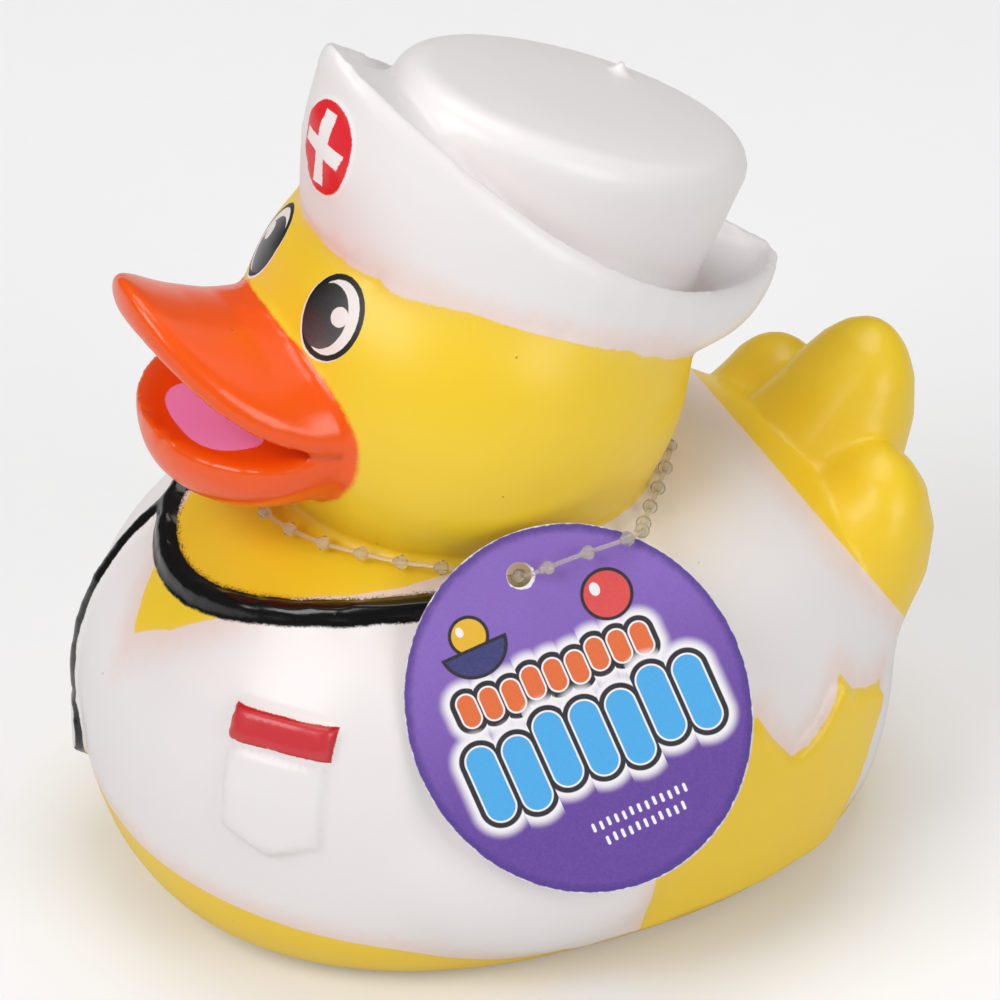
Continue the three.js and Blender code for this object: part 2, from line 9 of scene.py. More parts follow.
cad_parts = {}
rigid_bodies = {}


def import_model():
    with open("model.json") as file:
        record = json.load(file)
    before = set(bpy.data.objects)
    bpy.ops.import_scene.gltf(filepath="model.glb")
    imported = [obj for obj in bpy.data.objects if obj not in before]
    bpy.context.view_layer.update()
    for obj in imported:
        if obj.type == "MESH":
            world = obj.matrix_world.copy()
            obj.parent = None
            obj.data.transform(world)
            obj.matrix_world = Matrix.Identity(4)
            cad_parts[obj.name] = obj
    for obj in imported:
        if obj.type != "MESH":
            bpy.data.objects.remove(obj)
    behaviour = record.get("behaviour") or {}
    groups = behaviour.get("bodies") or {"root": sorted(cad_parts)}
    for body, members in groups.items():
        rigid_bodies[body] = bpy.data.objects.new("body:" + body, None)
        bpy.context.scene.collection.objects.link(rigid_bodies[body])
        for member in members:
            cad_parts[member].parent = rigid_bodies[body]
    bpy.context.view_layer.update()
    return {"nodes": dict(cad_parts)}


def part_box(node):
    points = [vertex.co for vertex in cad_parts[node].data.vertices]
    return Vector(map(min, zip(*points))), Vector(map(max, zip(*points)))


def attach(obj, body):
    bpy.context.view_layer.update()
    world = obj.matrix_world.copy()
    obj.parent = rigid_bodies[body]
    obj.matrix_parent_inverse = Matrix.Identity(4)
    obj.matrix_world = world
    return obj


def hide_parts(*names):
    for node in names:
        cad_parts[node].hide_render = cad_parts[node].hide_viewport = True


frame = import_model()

bl_info = {
    "name": "Nurse Bath Duck",
    "version": (1, 0, 0),
    "blender": (4, 5, 0),
    "location": "View3D > Sidebar > Bath Duck",
    "description": "Dresses a hollow vinyl bath duck, its beaded tie and its card tag",
    "category": "Object",
}

MM = 0.001

# Points of the tie, in millimetres, as the moulding was drawn before it was centred
TIE_ROUTE = [
    (-2.6, 20.6, 61.2), (-10.4, 18.6, 61.1), (-18.8, 13.2, 61.2), (-24.6, 6, 61.7),
    (-26.8, -2, 61.7), (-27.1, -10, 61.6), (-25.3, -18, 61.3), (-21.4, -25.4, 60.8),
    (-15.2, -31.4, 60.7), (-7, -35.8, 60.7), (1, -37.9, 60.8), (7.3, -36.8, 61),
    (12.8, -33.8, 61), (17.3, -30, 61), (21.4, -25.9, 61), (25, -21.6, 61.2),
    (28.4, -17.2, 61), (30.8, -14, 61.2), (33, -13.4, 62.7), (35.3, -12.6, 64.4),
    (36.4, -9, 65.9), (37, -4.6, 66.9), (37.2, -0.4, 67.5), (35.6, 2.6, 67),
    (31.4, 4.6, 64.2), (25.6, 8.4, 62.6), (19.2, 13, 61.6), (10.8, 18.5, 61.1),
    (2.6, 20.6, 61.2),
]

# The breast's foremost place as it was drawn, and how far the moulding was then moved along Y
BREAST_FRONT = -61.5
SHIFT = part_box("duck_shell")[0].y / MM - BREAST_FRONT

# Head and hat, in millimetres
HEAD_CENTRE = Vector((0, -7.5, 78))
HEAD_RADIUS = 31
HAT_ORIGIN = Vector((0, 0.4, 90.4))
HAT_TILT = math.radians(22.5)

# Edges of the hat's white paint, and the nub on its crown
HAT_BAND_FOOT = -3
HAT_PAINT_GAP = 0.4
HAT_CROWN_FOOT = 1
HAT_PAINT_BACK = 44
HEAD_PAINT_GAP = 0.5
NUB_FOOT = (-10.45, 20.15, 108.3)
NUB_SIZE = (0.95, 1.05, 2.2)
NUB_LIFT = 0.2
NUB_REACH = 3.2

# Easing of the surface: creases that bend more than the sharp bend keep their shape
CREASE_PASSES = 4
BEND_PASSES = 14
SHARP_BEND = 0.026
BEND_RANGE = 0.014

# Base and its vent
BASE_THICKNESS = 2.4
VENT_RADIUS = 1.6
VENT_Y = -4
VENT_TOLERANCE = 0.1
MERGE_DISTANCE = 0.002
TOP_TOLERANCE = 0.001

# Paint on the bill and in the mouth, and the sunk crease at the mouth's corners with its painted
# shade
BILL_ROOT_Y = -35.8
BILL_ROOT_CURVE = 0.0115
BILL_FOOT = 63.4
MOUTH_X = 1.2
MOUTH_HALF_WIDTH = 9.3
MOUTH_FRONT = 6.4
MOUTH_REACH_BACK = 4
MOUTH_SQUARENESS = 2.8
MOUTH_MIDDLE_Y = -43.2
MOUTH_ROOF = 81.5
MOUTH_FLOOR = 74
CREASE_HEIGHT = 77.2
CREASE_RISE = 0.2
CREASE_END = -30.5
CREASE_HALF_HEIGHT = 0.6
CREASE_INNER_X = 12
CREASE_BILL_GAP = 0.8

# How far the upper bill is raised at places along it
BILL_PLACES = [-63, -58, -52, -46, -40, -35, -32]
BILL_LIFTS = [1.4, 1.3, 0.4, -0.8, -1.4, -0.8, 0]
BILL_HALF_WIDTH = 17
BILL_TOP_STARTS = 82
BILL_TOP_RANGE = 6
BRIM_UNDERSIDE = 104

# Paint on the coat: the neck opening in plan, the sleeves' hands from the side
NECK_OPENING = [
    (0.1, -56.6), (6.4, -53.4), (11.3, -48.9), (17.5, -38.6), (20.7, -33.2), (22.9, -26.8),
    (24, -18), (22, -8), (-22, -8), (-24, -18), (-22.9, -26.8), (-20.7, -33.2), (-16, -39.5),
    (-6.4, -49.2), (-3.4, -53.2),
]
HAND_OUTLINE = [
    (-0.8, -6), (-0.8, 34.3), (6, 35.2), (17.3, 36.6), (19.4, 32.7), (22.5, 28.5), (25.4, 29.1),
    (28.4, 31), (30.6, 33.2), (32.5, 35.8), (35, 31.8), (38, 30), (42.3, 28), (40.4, 22.3),
    (37.4, 16.2), (34.4, 11.6), (31.2, 7.6), (24, 3.5), (18, -6),
]
NECK_FOOT = 40
COAT_TOP = 64
HAND_INNER_X = 14
TAIL_SLOPE = 0.67
TAIL_STEEPNESS = 0.83
TAIL_EDGE = 70.5
TAIL_FOOT = 22
HEM_PLACES = [-62, -55.7, -43.4, -33.8, -27, -18, -8, 2, 60]
HEM_HEIGHTS = [16.2, 15, 12, 9.8, 7.8, 5.8, 4.6, 6, 9.5]

# Oval round the neck where the white paint is tinted warm: thin paint there, and painted shade
# under the head
COLLAR_HALF_WIDTH = 30
COLLAR_HALF_LENGTH = 32
COLLAR_MIDDLE_Y = -6
COLLAR_FRONT = -14
COLLAR_FADE = 12
COLLAR_TOP = 70
COLLAR_NONE = 3

# Stethoscope: its loop round the neck and the tube that hangs to the chest piece
TUBE_RADIUS = 1.8
TUBE_BEHIND = -16
TUBE_LOWEST = 46
TUBE_HIGHEST = 66
TUBE_HEAD_GAP = 2
TUBE_HALF_WIDTH = 29
TUBE_FRONT = 40.5
TUBE_BACK = 25
TUBE_MIDDLE_Y = -9.5
HANG_RADIUS = 1.4
HANG_TOP = (-15, 56)
HANG_FOOT = (-19, 18)
CHEST_PIECE_RADIUS = 4.75
CHEST_PIECE_MARGIN = 0.3
CHEST_BACK_Y = -30

# Badge, pocket, eyes and emblem, each with its own across, up and out directions
BADGE_CENTRE = (28, -45.9, 43.4)
BADGE_HALF = (7.1, 2.35)
POCKET = [(-6.75, -3.6), (-6.75, -15.1), (0, -18.1), (6.75, -15.1), (6.75, -3.6)]
PATCH_TURN = math.radians(35)
PATCH_TILT = math.radians(14)
PATCH_REACH = 8
EYE_PLACE = (10.8, 16.9)
EYE_REACH = 6
EMBLEM_X = 3.3
EMBLEM_HALF = (4.35, 6.7)
EMBLEM_FORWARD = 36.13
EMBLEM_UP = 12.75
EMBLEM_LEAN = math.radians(14)
EMBLEM_REACH = 9

# Arms of the emblem's cross: turn, half width and half length
CROSS_ARMS = [(math.radians(3.5), 0.88, 5.35), (math.radians(101.3), 1.1, 3.4)]

# Height of each relief and the width of its slope
POCKET_RELIEF = (0.65, 0.9)
BADGE_RELIEF = (0.85, 1.0)
EMBLEM_RELIEF = (0.35, 0.8)
CREASE_RELIEF = (-0.45, 0.8)
RELIEF_INSET = 0.2

# Depths in the painted regions are stored no further than this from their edges
DEPTH_LIMIT = 8

# Tie: shape of a bead and of the lock
LINE_STEPS = 6
BEAD_COLLAR_STARTS = 0.12
BEAD_COLLAR_SCALE = (0.78, 0.78, 1.12)
LAST_BEAD_SHARE = 0.7
LOCK_RADIUS = 1.3
LOCK_LENGTH = 6
LOCK_ROUNDING = 0.5
LOCK_LIFT = 0.65
EDGE_ANGLE = math.radians(50)

# Tag: middle of its back face, and its turns, as the part has them
TAG_CENTRE = (43.3, -10, 46.9)
TAG_TURN = math.radians(70)
TAG_LEAN = math.radians(60)
TAG_ROLL = math.radians(22)
TAG_EDGE_ANGLE = math.radians(40)
FRONT_LEAF_LIFT = 0.48
BACK_LEAF_SLIP = (0.12, -0.18)

# Stage
CAMERA_AIM = (12.2, -7.5, 60.3)
LAMP_AIM = (0, 0, 0.06)
WORLD_STRENGTH = 0.34
WORLD_GLOSS_STRENGTH = 0.1
FLOOR_GLOW = 0.16


def linear(red, green, blue):
    """A colour given as 0 to 255 display levels, as shaders take it"""
    levels = [level / 255 for level in (red, green, blue)]
    return tuple(v / 12.92 if v <= 0.04045 else ((v + 0.055) / 1.055) ** 2.4 for v in levels)


def colour(name, description, levels):
    return FloatVectorProperty(name=name, description=description, subtype="COLOR", size=3,
                               min=0, max=1, default=linear(*levels))


def distance(name, description, default):
    return FloatProperty(name=name, description=description, default=default, min=0,
                         subtype="DISTANCE", unit="LENGTH", precision=5)


class MouldingSettings(bpy.types.PropertyGroup):
    grid: distance("Surface Grid", "Spacing of the moulding's surface points", 0.00085)
    easing: IntProperty(name="Easing", description="Passes that round the big forms",
                        default=110, min=0)
    yellow: colour("Vinyl", "Colour of the bare vinyl", (248, 212, 40))
    white: colour("Pearl White", "Paint of the coat and the hat", (240, 235, 234))
    cream: colour("Cream", "White paint where the vinyl shows through", (240, 214, 204))
    orange: colour("Bill Orange", "Paint of the bill", (247, 88, 6))
    pink: colour("Mouth Pink", "Paint inside the mouth", (255, 172, 244))
    black: colour("Black", "Paint of the tube and the eyes", (12, 11, 12))
    red: colour("Badge Red", "Paint of the badge", (196, 12, 20))
    emblem: colour("Emblem Red", "Paint of the emblem's disc", (228, 28, 40))


class TieSettings(bpy.types.PropertyGroup):
    strand: distance("Strand", "Diameter of the nylon strand", 0.00065)
    bead: distance("Bead", "Diameter of a bead", 0.0021)
    pitch: distance("Pitch", "Distance from bead to bead", 0.0057)
    first: distance("First Bead", "Distance along the strand to the first bead", 0.0083)
    length: distance("Length", "Length of the strand round the neck", 0.186)
    nylon: colour("Nylon", "Colour of the clear nylon", (252, 247, 236))


class TagSettings(bpy.types.PropertyGroup):
    half_width: distance("Half Width", "Half of the tag's width", 0.0228)
    half_height: distance("Half Height", "Half of the tag's height", 0.025)
    hole: distance("Hole", "Diameter of the hole for the tie", 0.0034)
    hole_offset: distance("Hole Offset", "Distance of the hole above the middle", 0.0195)
    leaf: distance("Leaf", "Thickness of a leaf of card", 0.00042)
    violet: colour("Violet", "Ground of the print", (98, 56, 158))
    upper_sheen: colour("Glow", "Lighter upper part of the print", (136, 98, 192))
    # Painted sheen: the violet drawn lighter towards the top of the card
    rim: colour("Rim", "Stripe along the edge", (72, 38, 138))


class StageSettings(bpy.types.PropertyGroup):
    azimuth: FloatProperty(name="Azimuth", description="Camera's turn from the duck's front",
                           default=math.radians(66), subtype="ANGLE", unit="ROTATION")
    elevation: FloatProperty(name="Elevation", description="Camera's height angle",
                             default=math.radians(34), subtype="ANGLE", unit="ROTATION")
    distance: distance("Distance", "Camera's distance from what it looks at", 0.9)
    view_height: distance("View Height", "Height of the view at the duck's middle", 0.135135)
    floor: colour("Floor", "Colour of the floor", (230, 230, 230))


def deselect():
    if bpy.context.mode != "OBJECT":
        bpy.ops.object.mode_set(mode="OBJECT")
    bpy.ops.object.select_all(action="DESELECT")


def activate(piece):
    deselect()
    piece.select_set(True)
    bpy.context.view_layer.objects.active = piece


def select_points(piece, test):
    """Selects the points of a mesh whose place passes the test, and the faces between them"""
    bpy.ops.object.mode_set(mode="OBJECT")
    mesh = piece.data
    for item in list(mesh.polygons) + list(mesh.edges):
        item.select = False
    for vertex in mesh.vertices:
        vertex.select = bool(test(vertex.co))
    for item in list(mesh.polygons) + list(mesh.edges):
        item.select = all(mesh.vertices[i].select for i in item.vertices)
    bpy.ops.object.mode_set(mode="EDIT")


def finish_piece(piece, name, material):
    piece.name = name
    piece.data.name = name
    piece.data.materials.clear()
    piece.data.materials.append(material)
    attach(piece, "root")


class Nodes:
    """Shader nodes of one material, with short ways to the ones that are used often"""

    def __init__(self, name):
        self.material = bpy.data.materials.new(name)
        self.material.use_nodes = True
        self.tree = self.material.node_tree
        self.shader = self.tree.nodes["Principled BSDF"]
        self.place = self.add("ShaderNodeTexCoord").outputs["Object"]

    def add(self, kind, **settings):
        node = self.tree.nodes.new(kind)
        for key, value in settings.items():
            setattr(node, key, value)
        return node

    def put(self, value, socket):
        if isinstance(value, bpy.types.NodeSocket):
            self.tree.links.new(value, socket)
        elif hasattr(value, "__len__") and socket.type == "RGBA":
            socket.default_value = (*value, 1)
        else:
            socket.default_value = value

    def math(self, operation, *values, clamp=False):
        node = self.add("ShaderNodeMath", operation=operation, use_clamp=clamp)
        for value, socket in zip(values, node.inputs):
            self.put(value, socket)
        return node.outputs[0]

    def times(self, a, b):
        return self.math("MULTIPLY", a, b)

    def plus(self, a, b, clamp=False):
        return self.math("ADD", a, b, clamp=clamp)

    def minus(self, a, b, clamp=False):
        return self.math("SUBTRACT", a, b, clamp=clamp)

    def blend(self, share, below, above):
        node = self.add("ShaderNodeMix", data_type="RGBA")
        self.put(share, node.inputs["Factor"])
        self.put(below, node.inputs["A"])
        self.put(above, node.inputs["B"])
        return node.outputs["Result"]

    def between(self, share, low, high):
        node = self.add("ShaderNodeMix", data_type="FLOAT")
        self.put(share, node.inputs["Factor"])
        self.put(low, node.inputs["A"])
        self.put(high, node.inputs["B"])
        return node.outputs["Result"]

    def field(self, name):
        return self.add("ShaderNodeAttribute", attribute_name=name).outputs["Fac"]

    def axes(self, name):
        vector = self.add("ShaderNodeAttribute", attribute_name=name).outputs["Vector"]
        node = self.add("ShaderNodeSeparateXYZ")
        self.put(vector, node.inputs[0])
        return node.outputs[0], node.outputs[1], node.outputs[2]

    def noise(self, size, detail=2, seed=0.0):
        """Noise from 0 to 1 with features of about that size, in millimetres"""
        node = self.add("ShaderNodeTexNoise", noise_dimensions="4D")
        self.put(self.place, node.inputs["Vector"])
        node.inputs["W"].default_value = seed
        node.inputs["Scale"].default_value = 1 / (size * MM)
        node.inputs["Detail"].default_value = detail
        return node.outputs["Fac"]

    def dots(self, spacing, radius, share, seed=0.0):
        """Small round dots: 1 on a dot. A share of the grid's cells has one"""
        cells = self.add("ShaderNodeTexVoronoi", voronoi_dimensions="4D")
        self.put(self.place, cells.inputs["Vector"])
        cells.inputs["W"].default_value = seed
        cells.inputs["Scale"].default_value = 1 / (spacing * MM)
        near = self.step(cells.outputs["Distance"], radius / spacing, -radius / spacing * 0.5)
        chance = self.add("ShaderNodeSeparateColor")
        self.put(cells.outputs["Color"], chance.inputs[0])
        return self.math("MULTIPLY", near, self.math("LESS_THAN", chance.outputs[0], share))

    def step(self, value, edge, softness):
        """Rises from 0 to 1 as the value passes the edge. A negative softness makes it fall"""
        node = self.add("ShaderNodeMapRange", interpolation_type="SMOOTHSTEP")
        self.put(value, node.inputs["Value"])
        node.inputs["From Min"].default_value = edge - softness
        node.inputs["From Max"].default_value = edge + softness
        return node.outputs["Result"]

    def bump(self, height, strength, depth):
        node = self.add("ShaderNodeBump")
        self.put(height, node.inputs["Height"])
        node.inputs["Strength"].default_value = strength
        node.inputs["Distance"].default_value = depth * MM
        return node.outputs["Normal"]

    def finish(self, base, roughness, normal=None):
        self.put(base, self.shader.inputs["Base Color"])
        self.put(roughness, self.shader.inputs["Roughness"])
        if normal is not None:
            self.put(normal, self.shader.inputs["Normal"])
        return self.material


def outline_depth(u, v, points):
    """How deep each place lies inside a closed outline. It is negative outside"""
    inside = np.zeros(len(u), bool)
    nearest = np.full(len(u), 1e9)
    for (u0, v0), (u1, v1) in zip(points, points[1:] + points[:1]):
        du, dv = u1 - u0, v1 - v0
        along = np.clip(((u - u0) * du + (v - v0) * dv) / (du * du + dv * dv), 0, 1)
        nearest = np.minimum(nearest, np.hypot(u - u0 - along * du, v - v0 - along * dv))
        if dv:
            inside ^= ((v0 > v) != (v1 > v)) & (u < u0 + (v - v0) * du / dv)
    return np.where(inside, nearest, -nearest)


def moulding_outside():
    """A merged copy of the moulding without its hidden hollow, with a short blind vent"""
    deselect()
    piece = bpy.data.objects.new("duck_moulding", frame["nodes"]["duck_shell"].data.copy())
    bpy.context.scene.collection.objects.link(piece)
    activate(piece)
    bpy.ops.object.mode_set(mode="EDIT")
    bpy.ops.mesh.select_all(action="SELECT")
    bpy.ops.mesh.remove_doubles(threshold=MERGE_DISTANCE * MM)
    bpy.ops.mesh.select_mode(type="VERT")

    def on_vent(co):
        reach = math.hypot(co.x / MM, co.y / MM - VENT_Y - SHIFT)
        return abs(reach - VENT_RADIUS) < VENT_TOLERANCE and co.z < BASE_THICKNESS * 1.5 * MM

    select_points(piece, on_vent)
    bpy.ops.mesh.select_mode(type="FACE")
    bpy.ops.mesh.delete(type="ONLY_FACE")
    bpy.ops.mesh.select_mode(type="VERT")
    top = max(vertex.co.z for vertex in piece.data.vertices)
    select_points(piece, lambda co: co.z > top - TOP_TOLERANCE * MM)
    bpy.ops.mesh.select_linked()
    bpy.ops.mesh.select_all(action="INVERT")
    bpy.ops.mesh.delete(type="VERT")
    select_points(piece, lambda co: on_vent(co) and co.z < VENT_TOLERANCE * MM)
    bpy.ops.mesh.extrude_region_move(TRANSFORM_OT_translate={"value": (0, 0, BASE_THICKNESS * MM)})
    bpy.ops.mesh.edge_face_add()
    bpy.ops.mesh.select_all(action="SELECT")
    bpy.ops.mesh.normals_make_consistent(inside=False)
    bpy.ops.object.mode_set(mode="OBJECT")
    return piece


def neighbour_mean(values, ends, count):
    total = np.empty_like(values)
    for axis in range(values.shape[1]):
        column = values[:, axis]
        total[:, axis] = np.bincount(ends[:, 0], weights=column[ends[:, 1]], minlength=len(values))
        total[:, axis] += np.bincount(ends[:, 1], weights=column[ends[:, 0]], minlength=len(values))
    return total / count[:, None]


def ease_surface(mesh, passes):
    """Rounds the facets of the big forms and softens the creases, without shrinking them"""
    places = np.empty(len(mesh.vertices) * 3)
    mesh.vertices.foreach_get("co", places)
    places = places.reshape(-1, 3) / MM
    ends = np.empty(len(mesh.edges) * 2, int)
    mesh.edges.foreach_get("vertices", ends)
    ends = ends.reshape(-1, 2)
    count = np.bincount(ends.ravel(), minlength=len(places)).astype(float)

    def eased(values, rounds, freedom):
        values = values.copy()
        for _ in range(rounds):
            values += 0.5 * freedom * (neighbour_mean(values, ends, count) - values)
        return values

    nub = np.array(NUB_FOOT) + np.array((0, SHIFT, 0))
    near_nub = (np.linalg.norm(places - nub, axis=1) < NUB_REACH)[:, None]
    soft = eased(places, CREASE_PASSES, np.where(near_nub, 0.25, 1))
    pull = np.linalg.norm(neighbour_mean(soft, ends, count) - soft, axis=1)[:, None]
    bend = eased(pull, BEND_PASSES, 1)
    freedom = np.clip((SHARP_BEND - bend) / BEND_RANGE, 0, 1) * ~near_nub
    free = eased(soft, passes, freedom)
    free = free + eased(soft - free, passes, freedom)
    return lift_bill(free)


def lift_bill(places):
    """Raises the tip of the upper bill and lowers its bridge, fading out towards its edges"""
    x, y, z = places[:, 0], places[:, 1] - SHIFT, places[:, 2]
    across = np.clip(1 - (x / BILL_HALF_WIDTH) ** 2, 0, 1)
    above = np.clip((z - BILL_TOP_STARTS) / BILL_TOP_RANGE, 0, 1)
    lift = np.interp(y, BILL_PLACES, BILL_LIFTS, right=0) * across * above
    lifted = places.copy()
    lifted[:, 2] += np.where(z < BRIM_UNDERSIDE, lift, 0)
    return lifted


def move_points(mesh, places):
    mesh.vertices.foreach_set("co", (places * MM).ravel())
    mesh.update()


def add_nub(piece):
    """Joins the small round nub to the top of the hat, where the mould was filled"""
    deselect()
    axis = Vector((0, math.sin(HAT_TILT), math.cos(HAT_TILT)))
    foot = (Vector(NUB_FOOT) + Vector((0, SHIFT, 0))) * MM
    bpy.ops.mesh.primitive_uv_sphere_add(segments=20, ring_count=14, radius=1)
    nub = bpy.context.view_layer.objects.active
    size = Matrix.Diagonal((*(half * MM for half in NUB_SIZE), 1))
    stand = axis.to_track_quat("Z", "Y").to_matrix().to_4x4()
    nub.matrix_world = Matrix.Translation(foot + axis * NUB_LIFT * MM) @ stand @ size
    activate(piece)
    nub.select_set(True)
    bpy.ops.object.join()


def add_field(mesh, name, values):
    kind, slot = ("FLOAT", "value") if values.ndim == 1 else ("FLOAT_VECTOR", "vector")
    attribute = mesh.attributes.new(name, kind, "POINT")
    attribute.data.foreach_set(slot, values.astype(np.float32).ravel())


def add_depth(mesh, name, depth):
    add_field(mesh, name, np.clip(depth, -DEPTH_LIMIT, DEPTH_LIMIT))


def local_axes(places, centre, tilt, turn):
    """Across, up and out distances from a centre on a surface that faces -Y, tilted and turned"""
    out = Vector((0, -math.cos(tilt), math.sin(tilt)))
    up = Vector((0, math.sin(tilt), math.cos(tilt)))
    spin = Matrix.Rotation(turn, 3, "Z")
    across = spin @ Vector((1, 0, 0))
    frame_axes = np.array([across, spin @ up, spin @ out])
    return (places - np.array(centre)) @ frame_axes.T


def coat_depth(x, y, z, from_head, hat_up):
    """How deep each point lies in the white paint of the coat and the hat"""
    hat = np.maximum(from_head - HAT_PAINT_GAP, hat_up - HAT_CROWN_FOOT)
    hat = np.minimum(np.minimum(hat, hat_up - HAT_BAND_FOOT), HAT_PAINT_BACK - y)
    neck = np.minimum(outline_depth(x, y, NECK_OPENING), z - NECK_FOOT)
    hand = np.minimum(outline_depth(y, z, HAND_OUTLINE), np.abs(x) - HAND_INNER_X)
    tail = np.minimum((y + TAIL_SLOPE * z - TAIL_EDGE) * TAIL_STEEPNESS, z - TAIL_FOOT)
    hem = np.interp(y, HEM_PLACES, HEM_HEIGHTS) - z
    head = HEAD_PAINT_GAP - from_head
    bare = np.max([neck, hand, tail, hem, head, z - COAT_TOP], axis=0)
    return np.maximum(hat, -bare)


def mouth_depths(x, y, z, bill):
    """How deep each point lies in the pink of the mouth and in the crease at its corners"""
    ahead = np.maximum((MOUTH_MIDDLE_Y - y) / MOUTH_FRONT, (y - MOUTH_MIDDLE_Y) / MOUTH_REACH_BACK)
    across = np.abs(x - MOUTH_X) / MOUTH_HALF_WIDTH
    mouth = (across**MOUTH_SQUARENESS + ahead**MOUTH_SQUARENESS) ** (1 / MOUTH_SQUARENESS)
    mouth = (1 - mouth) * MOUTH_FRONT
    mouth = np.minimum(mouth, np.minimum(MOUTH_ROOF - z, z - MOUTH_FLOOR) * 2)
    crease = CREASE_HALF_HEIGHT - np.abs(z - CREASE_HEIGHT - CREASE_RISE * (CREASE_END - y))
    crease = np.minimum(crease, np.minimum(np.abs(x) - CREASE_INNER_X, bill - CREASE_BILL_GAP))
    return mouth, crease


def tube_depths(x, y, z, from_head):
    """How deep each point lies in the tube's black and in the chest piece, and how far inside
    the tube's loop it is"""
    reach = np.where(y < TUBE_MIDDLE_Y, TUBE_FRONT, TUBE_BACK)
    ring = np.hypot(x / TUBE_HALF_WIDTH, (y - TUBE_MIDDLE_Y) / reach)
    slope = np.hypot(x / TUBE_HALF_WIDTH**2, (y - TUBE_MIDDLE_Y) / reach**2)
    slope = slope / np.maximum(ring, 0.01)
    loop = TUBE_RADIUS - np.abs(ring - 1) / np.maximum(slope, 1e-4)
    loop = np.minimum(loop, np.minimum(z - TUBE_LOWEST, TUBE_HIGHEST - z))
    loop = np.minimum(loop, np.minimum(TUBE_BEHIND - y, from_head - TUBE_HEAD_GAP))
    share = np.clip((HANG_TOP[1] - z) / (HANG_TOP[1] - HANG_FOOT[1]), 0, 1)
    hang_x = HANG_TOP[0] + (HANG_FOOT[0] - HANG_TOP[0]) * share
    hang = np.minimum(z - HANG_FOOT[1], CHEST_BACK_Y - y)
    hang = np.minimum(HANG_RADIUS - np.abs(x - hang_x), hang)
    hang = np.minimum(hang, HANG_TOP[1] - z)
    chest = CHEST_PIECE_RADIUS + CHEST_PIECE_MARGIN - np.hypot(x - HANG_FOOT[0], z - HANG_FOOT[1])
    chest = np.where(y < CHEST_BACK_Y, chest, -DEPTH_LIMIT - 1)
    return np.max([loop, hang, chest], axis=0), chest, (1 - ring) * 30


def slope_up(depth, height_and_width):
    """Height of a relief whose slope lies on both sides of the region's edge"""
    height, width = height_and_width
    share = np.clip(depth / width + 0.5, 0, 1)
    return height * share * share * (3 - 2 * share)


def paint_fields(mesh, places):
    """Stores how far inside each painted region every point lies, and returns the relief there,
    all in millimetres"""
    x, y, z = places[:, 0], places[:, 1] - SHIFT, places[:, 2]
    drawn = np.column_stack([x, y, z])
    from_head = np.linalg.norm(drawn - np.array(HEAD_CENTRE), axis=1) - HEAD_RADIUS
    hat = drawn - np.array(HAT_ORIGIN)
    hat_up = hat[:, 1] * math.sin(HAT_TILT) + hat[:, 2] * math.cos(HAT_TILT)

    bill = np.minimum(BILL_ROOT_Y + BILL_ROOT_CURVE * x**2 - y, z - BILL_FOOT)
    mouth, crease = mouth_depths(x, y, z, bill)
    tube, chest, inside = tube_depths(x, y, z, from_head)
    collar = np.hypot(x / COLLAR_HALF_WIDTH, (y - COLLAR_MIDDLE_Y) / COLLAR_HALF_LENGTH)
    collar = collar + np.clip((COLLAR_FRONT - y) / COLLAR_FADE, 0, 2)
    add_depth(mesh, "white_paint", coat_depth(x, y, z, from_head, hat_up))
    add_field(mesh, "collar_reach", np.where(z < COLLAR_TOP, collar, COLLAR_NONE))
    add_depth(mesh, "tube_inside", inside)
    add_depth(mesh, "bill_paint", bill)
    add_depth(mesh, "mouth_paint", mouth)
    add_depth(mesh, "tube_paint", tube)
    add_depth(mesh, "chest_piece", chest)
    add_depth(mesh, "mouth_crease", crease)

    badge = local_axes(drawn, BADGE_CENTRE, PATCH_TILT, PATCH_TURN)
    add_field(mesh, "badge_place", badge)
    mirrored = np.column_stack([np.abs(x), y, z])
    eye_depth = math.sqrt(HEAD_RADIUS**2 - EYE_PLACE[0] ** 2 - EYE_PLACE[1] ** 2)
    eye_centre = HEAD_CENTRE + Vector((EYE_PLACE[0], -eye_depth, EYE_PLACE[1]))
    eye_turn = math.atan2(EYE_PLACE[0], eye_depth)
    eye_tilt = math.atan2(EYE_PLACE[1], math.hypot(EYE_PLACE[0], eye_depth))
    add_field(mesh, "eye_place", local_axes(mirrored, eye_centre, eye_tilt, eye_turn))
    ahead, above = math.cos(HAT_TILT), math.sin(HAT_TILT)
    emblem_centre = HAT_ORIGIN + Vector((EMBLEM_X, EMBLEM_UP * above - EMBLEM_FORWARD * ahead,
                                         EMBLEM_FORWARD * above + EMBLEM_UP * ahead))
    emblem = local_axes(drawn, emblem_centre, EMBLEM_LEAN, 0)
    add_field(mesh, "emblem_place", emblem)

    near = badge[:, 2] > -PATCH_REACH
    pocket = np.where(near, outline_depth(badge[:, 0], badge[:, 1], POCKET), -DEPTH_LIMIT)
    plate = np.minimum(BADGE_HALF[0] - np.abs(badge[:, 0]), BADGE_HALF[1] - np.abs(badge[:, 1]))
    plate = np.where(near, plate, -DEPTH_LIMIT)
    half_across, half_up = EMBLEM_HALF
    disc = (1 - np.hypot(emblem[:, 0] / half_across, emblem[:, 1] / half_up)) * half_across
    disc = np.where(emblem[:, 2] > -EMBLEM_REACH, disc, -DEPTH_LIMIT)
    relief = slope_up(pocket, POCKET_RELIEF) + slope_up(plate - RELIEF_INSET, BADGE_RELIEF)
    relief = relief + slope_up(disc, EMBLEM_RELIEF)
    return relief + slope_up(crease - RELIEF_INSET, CREASE_RELIEF)


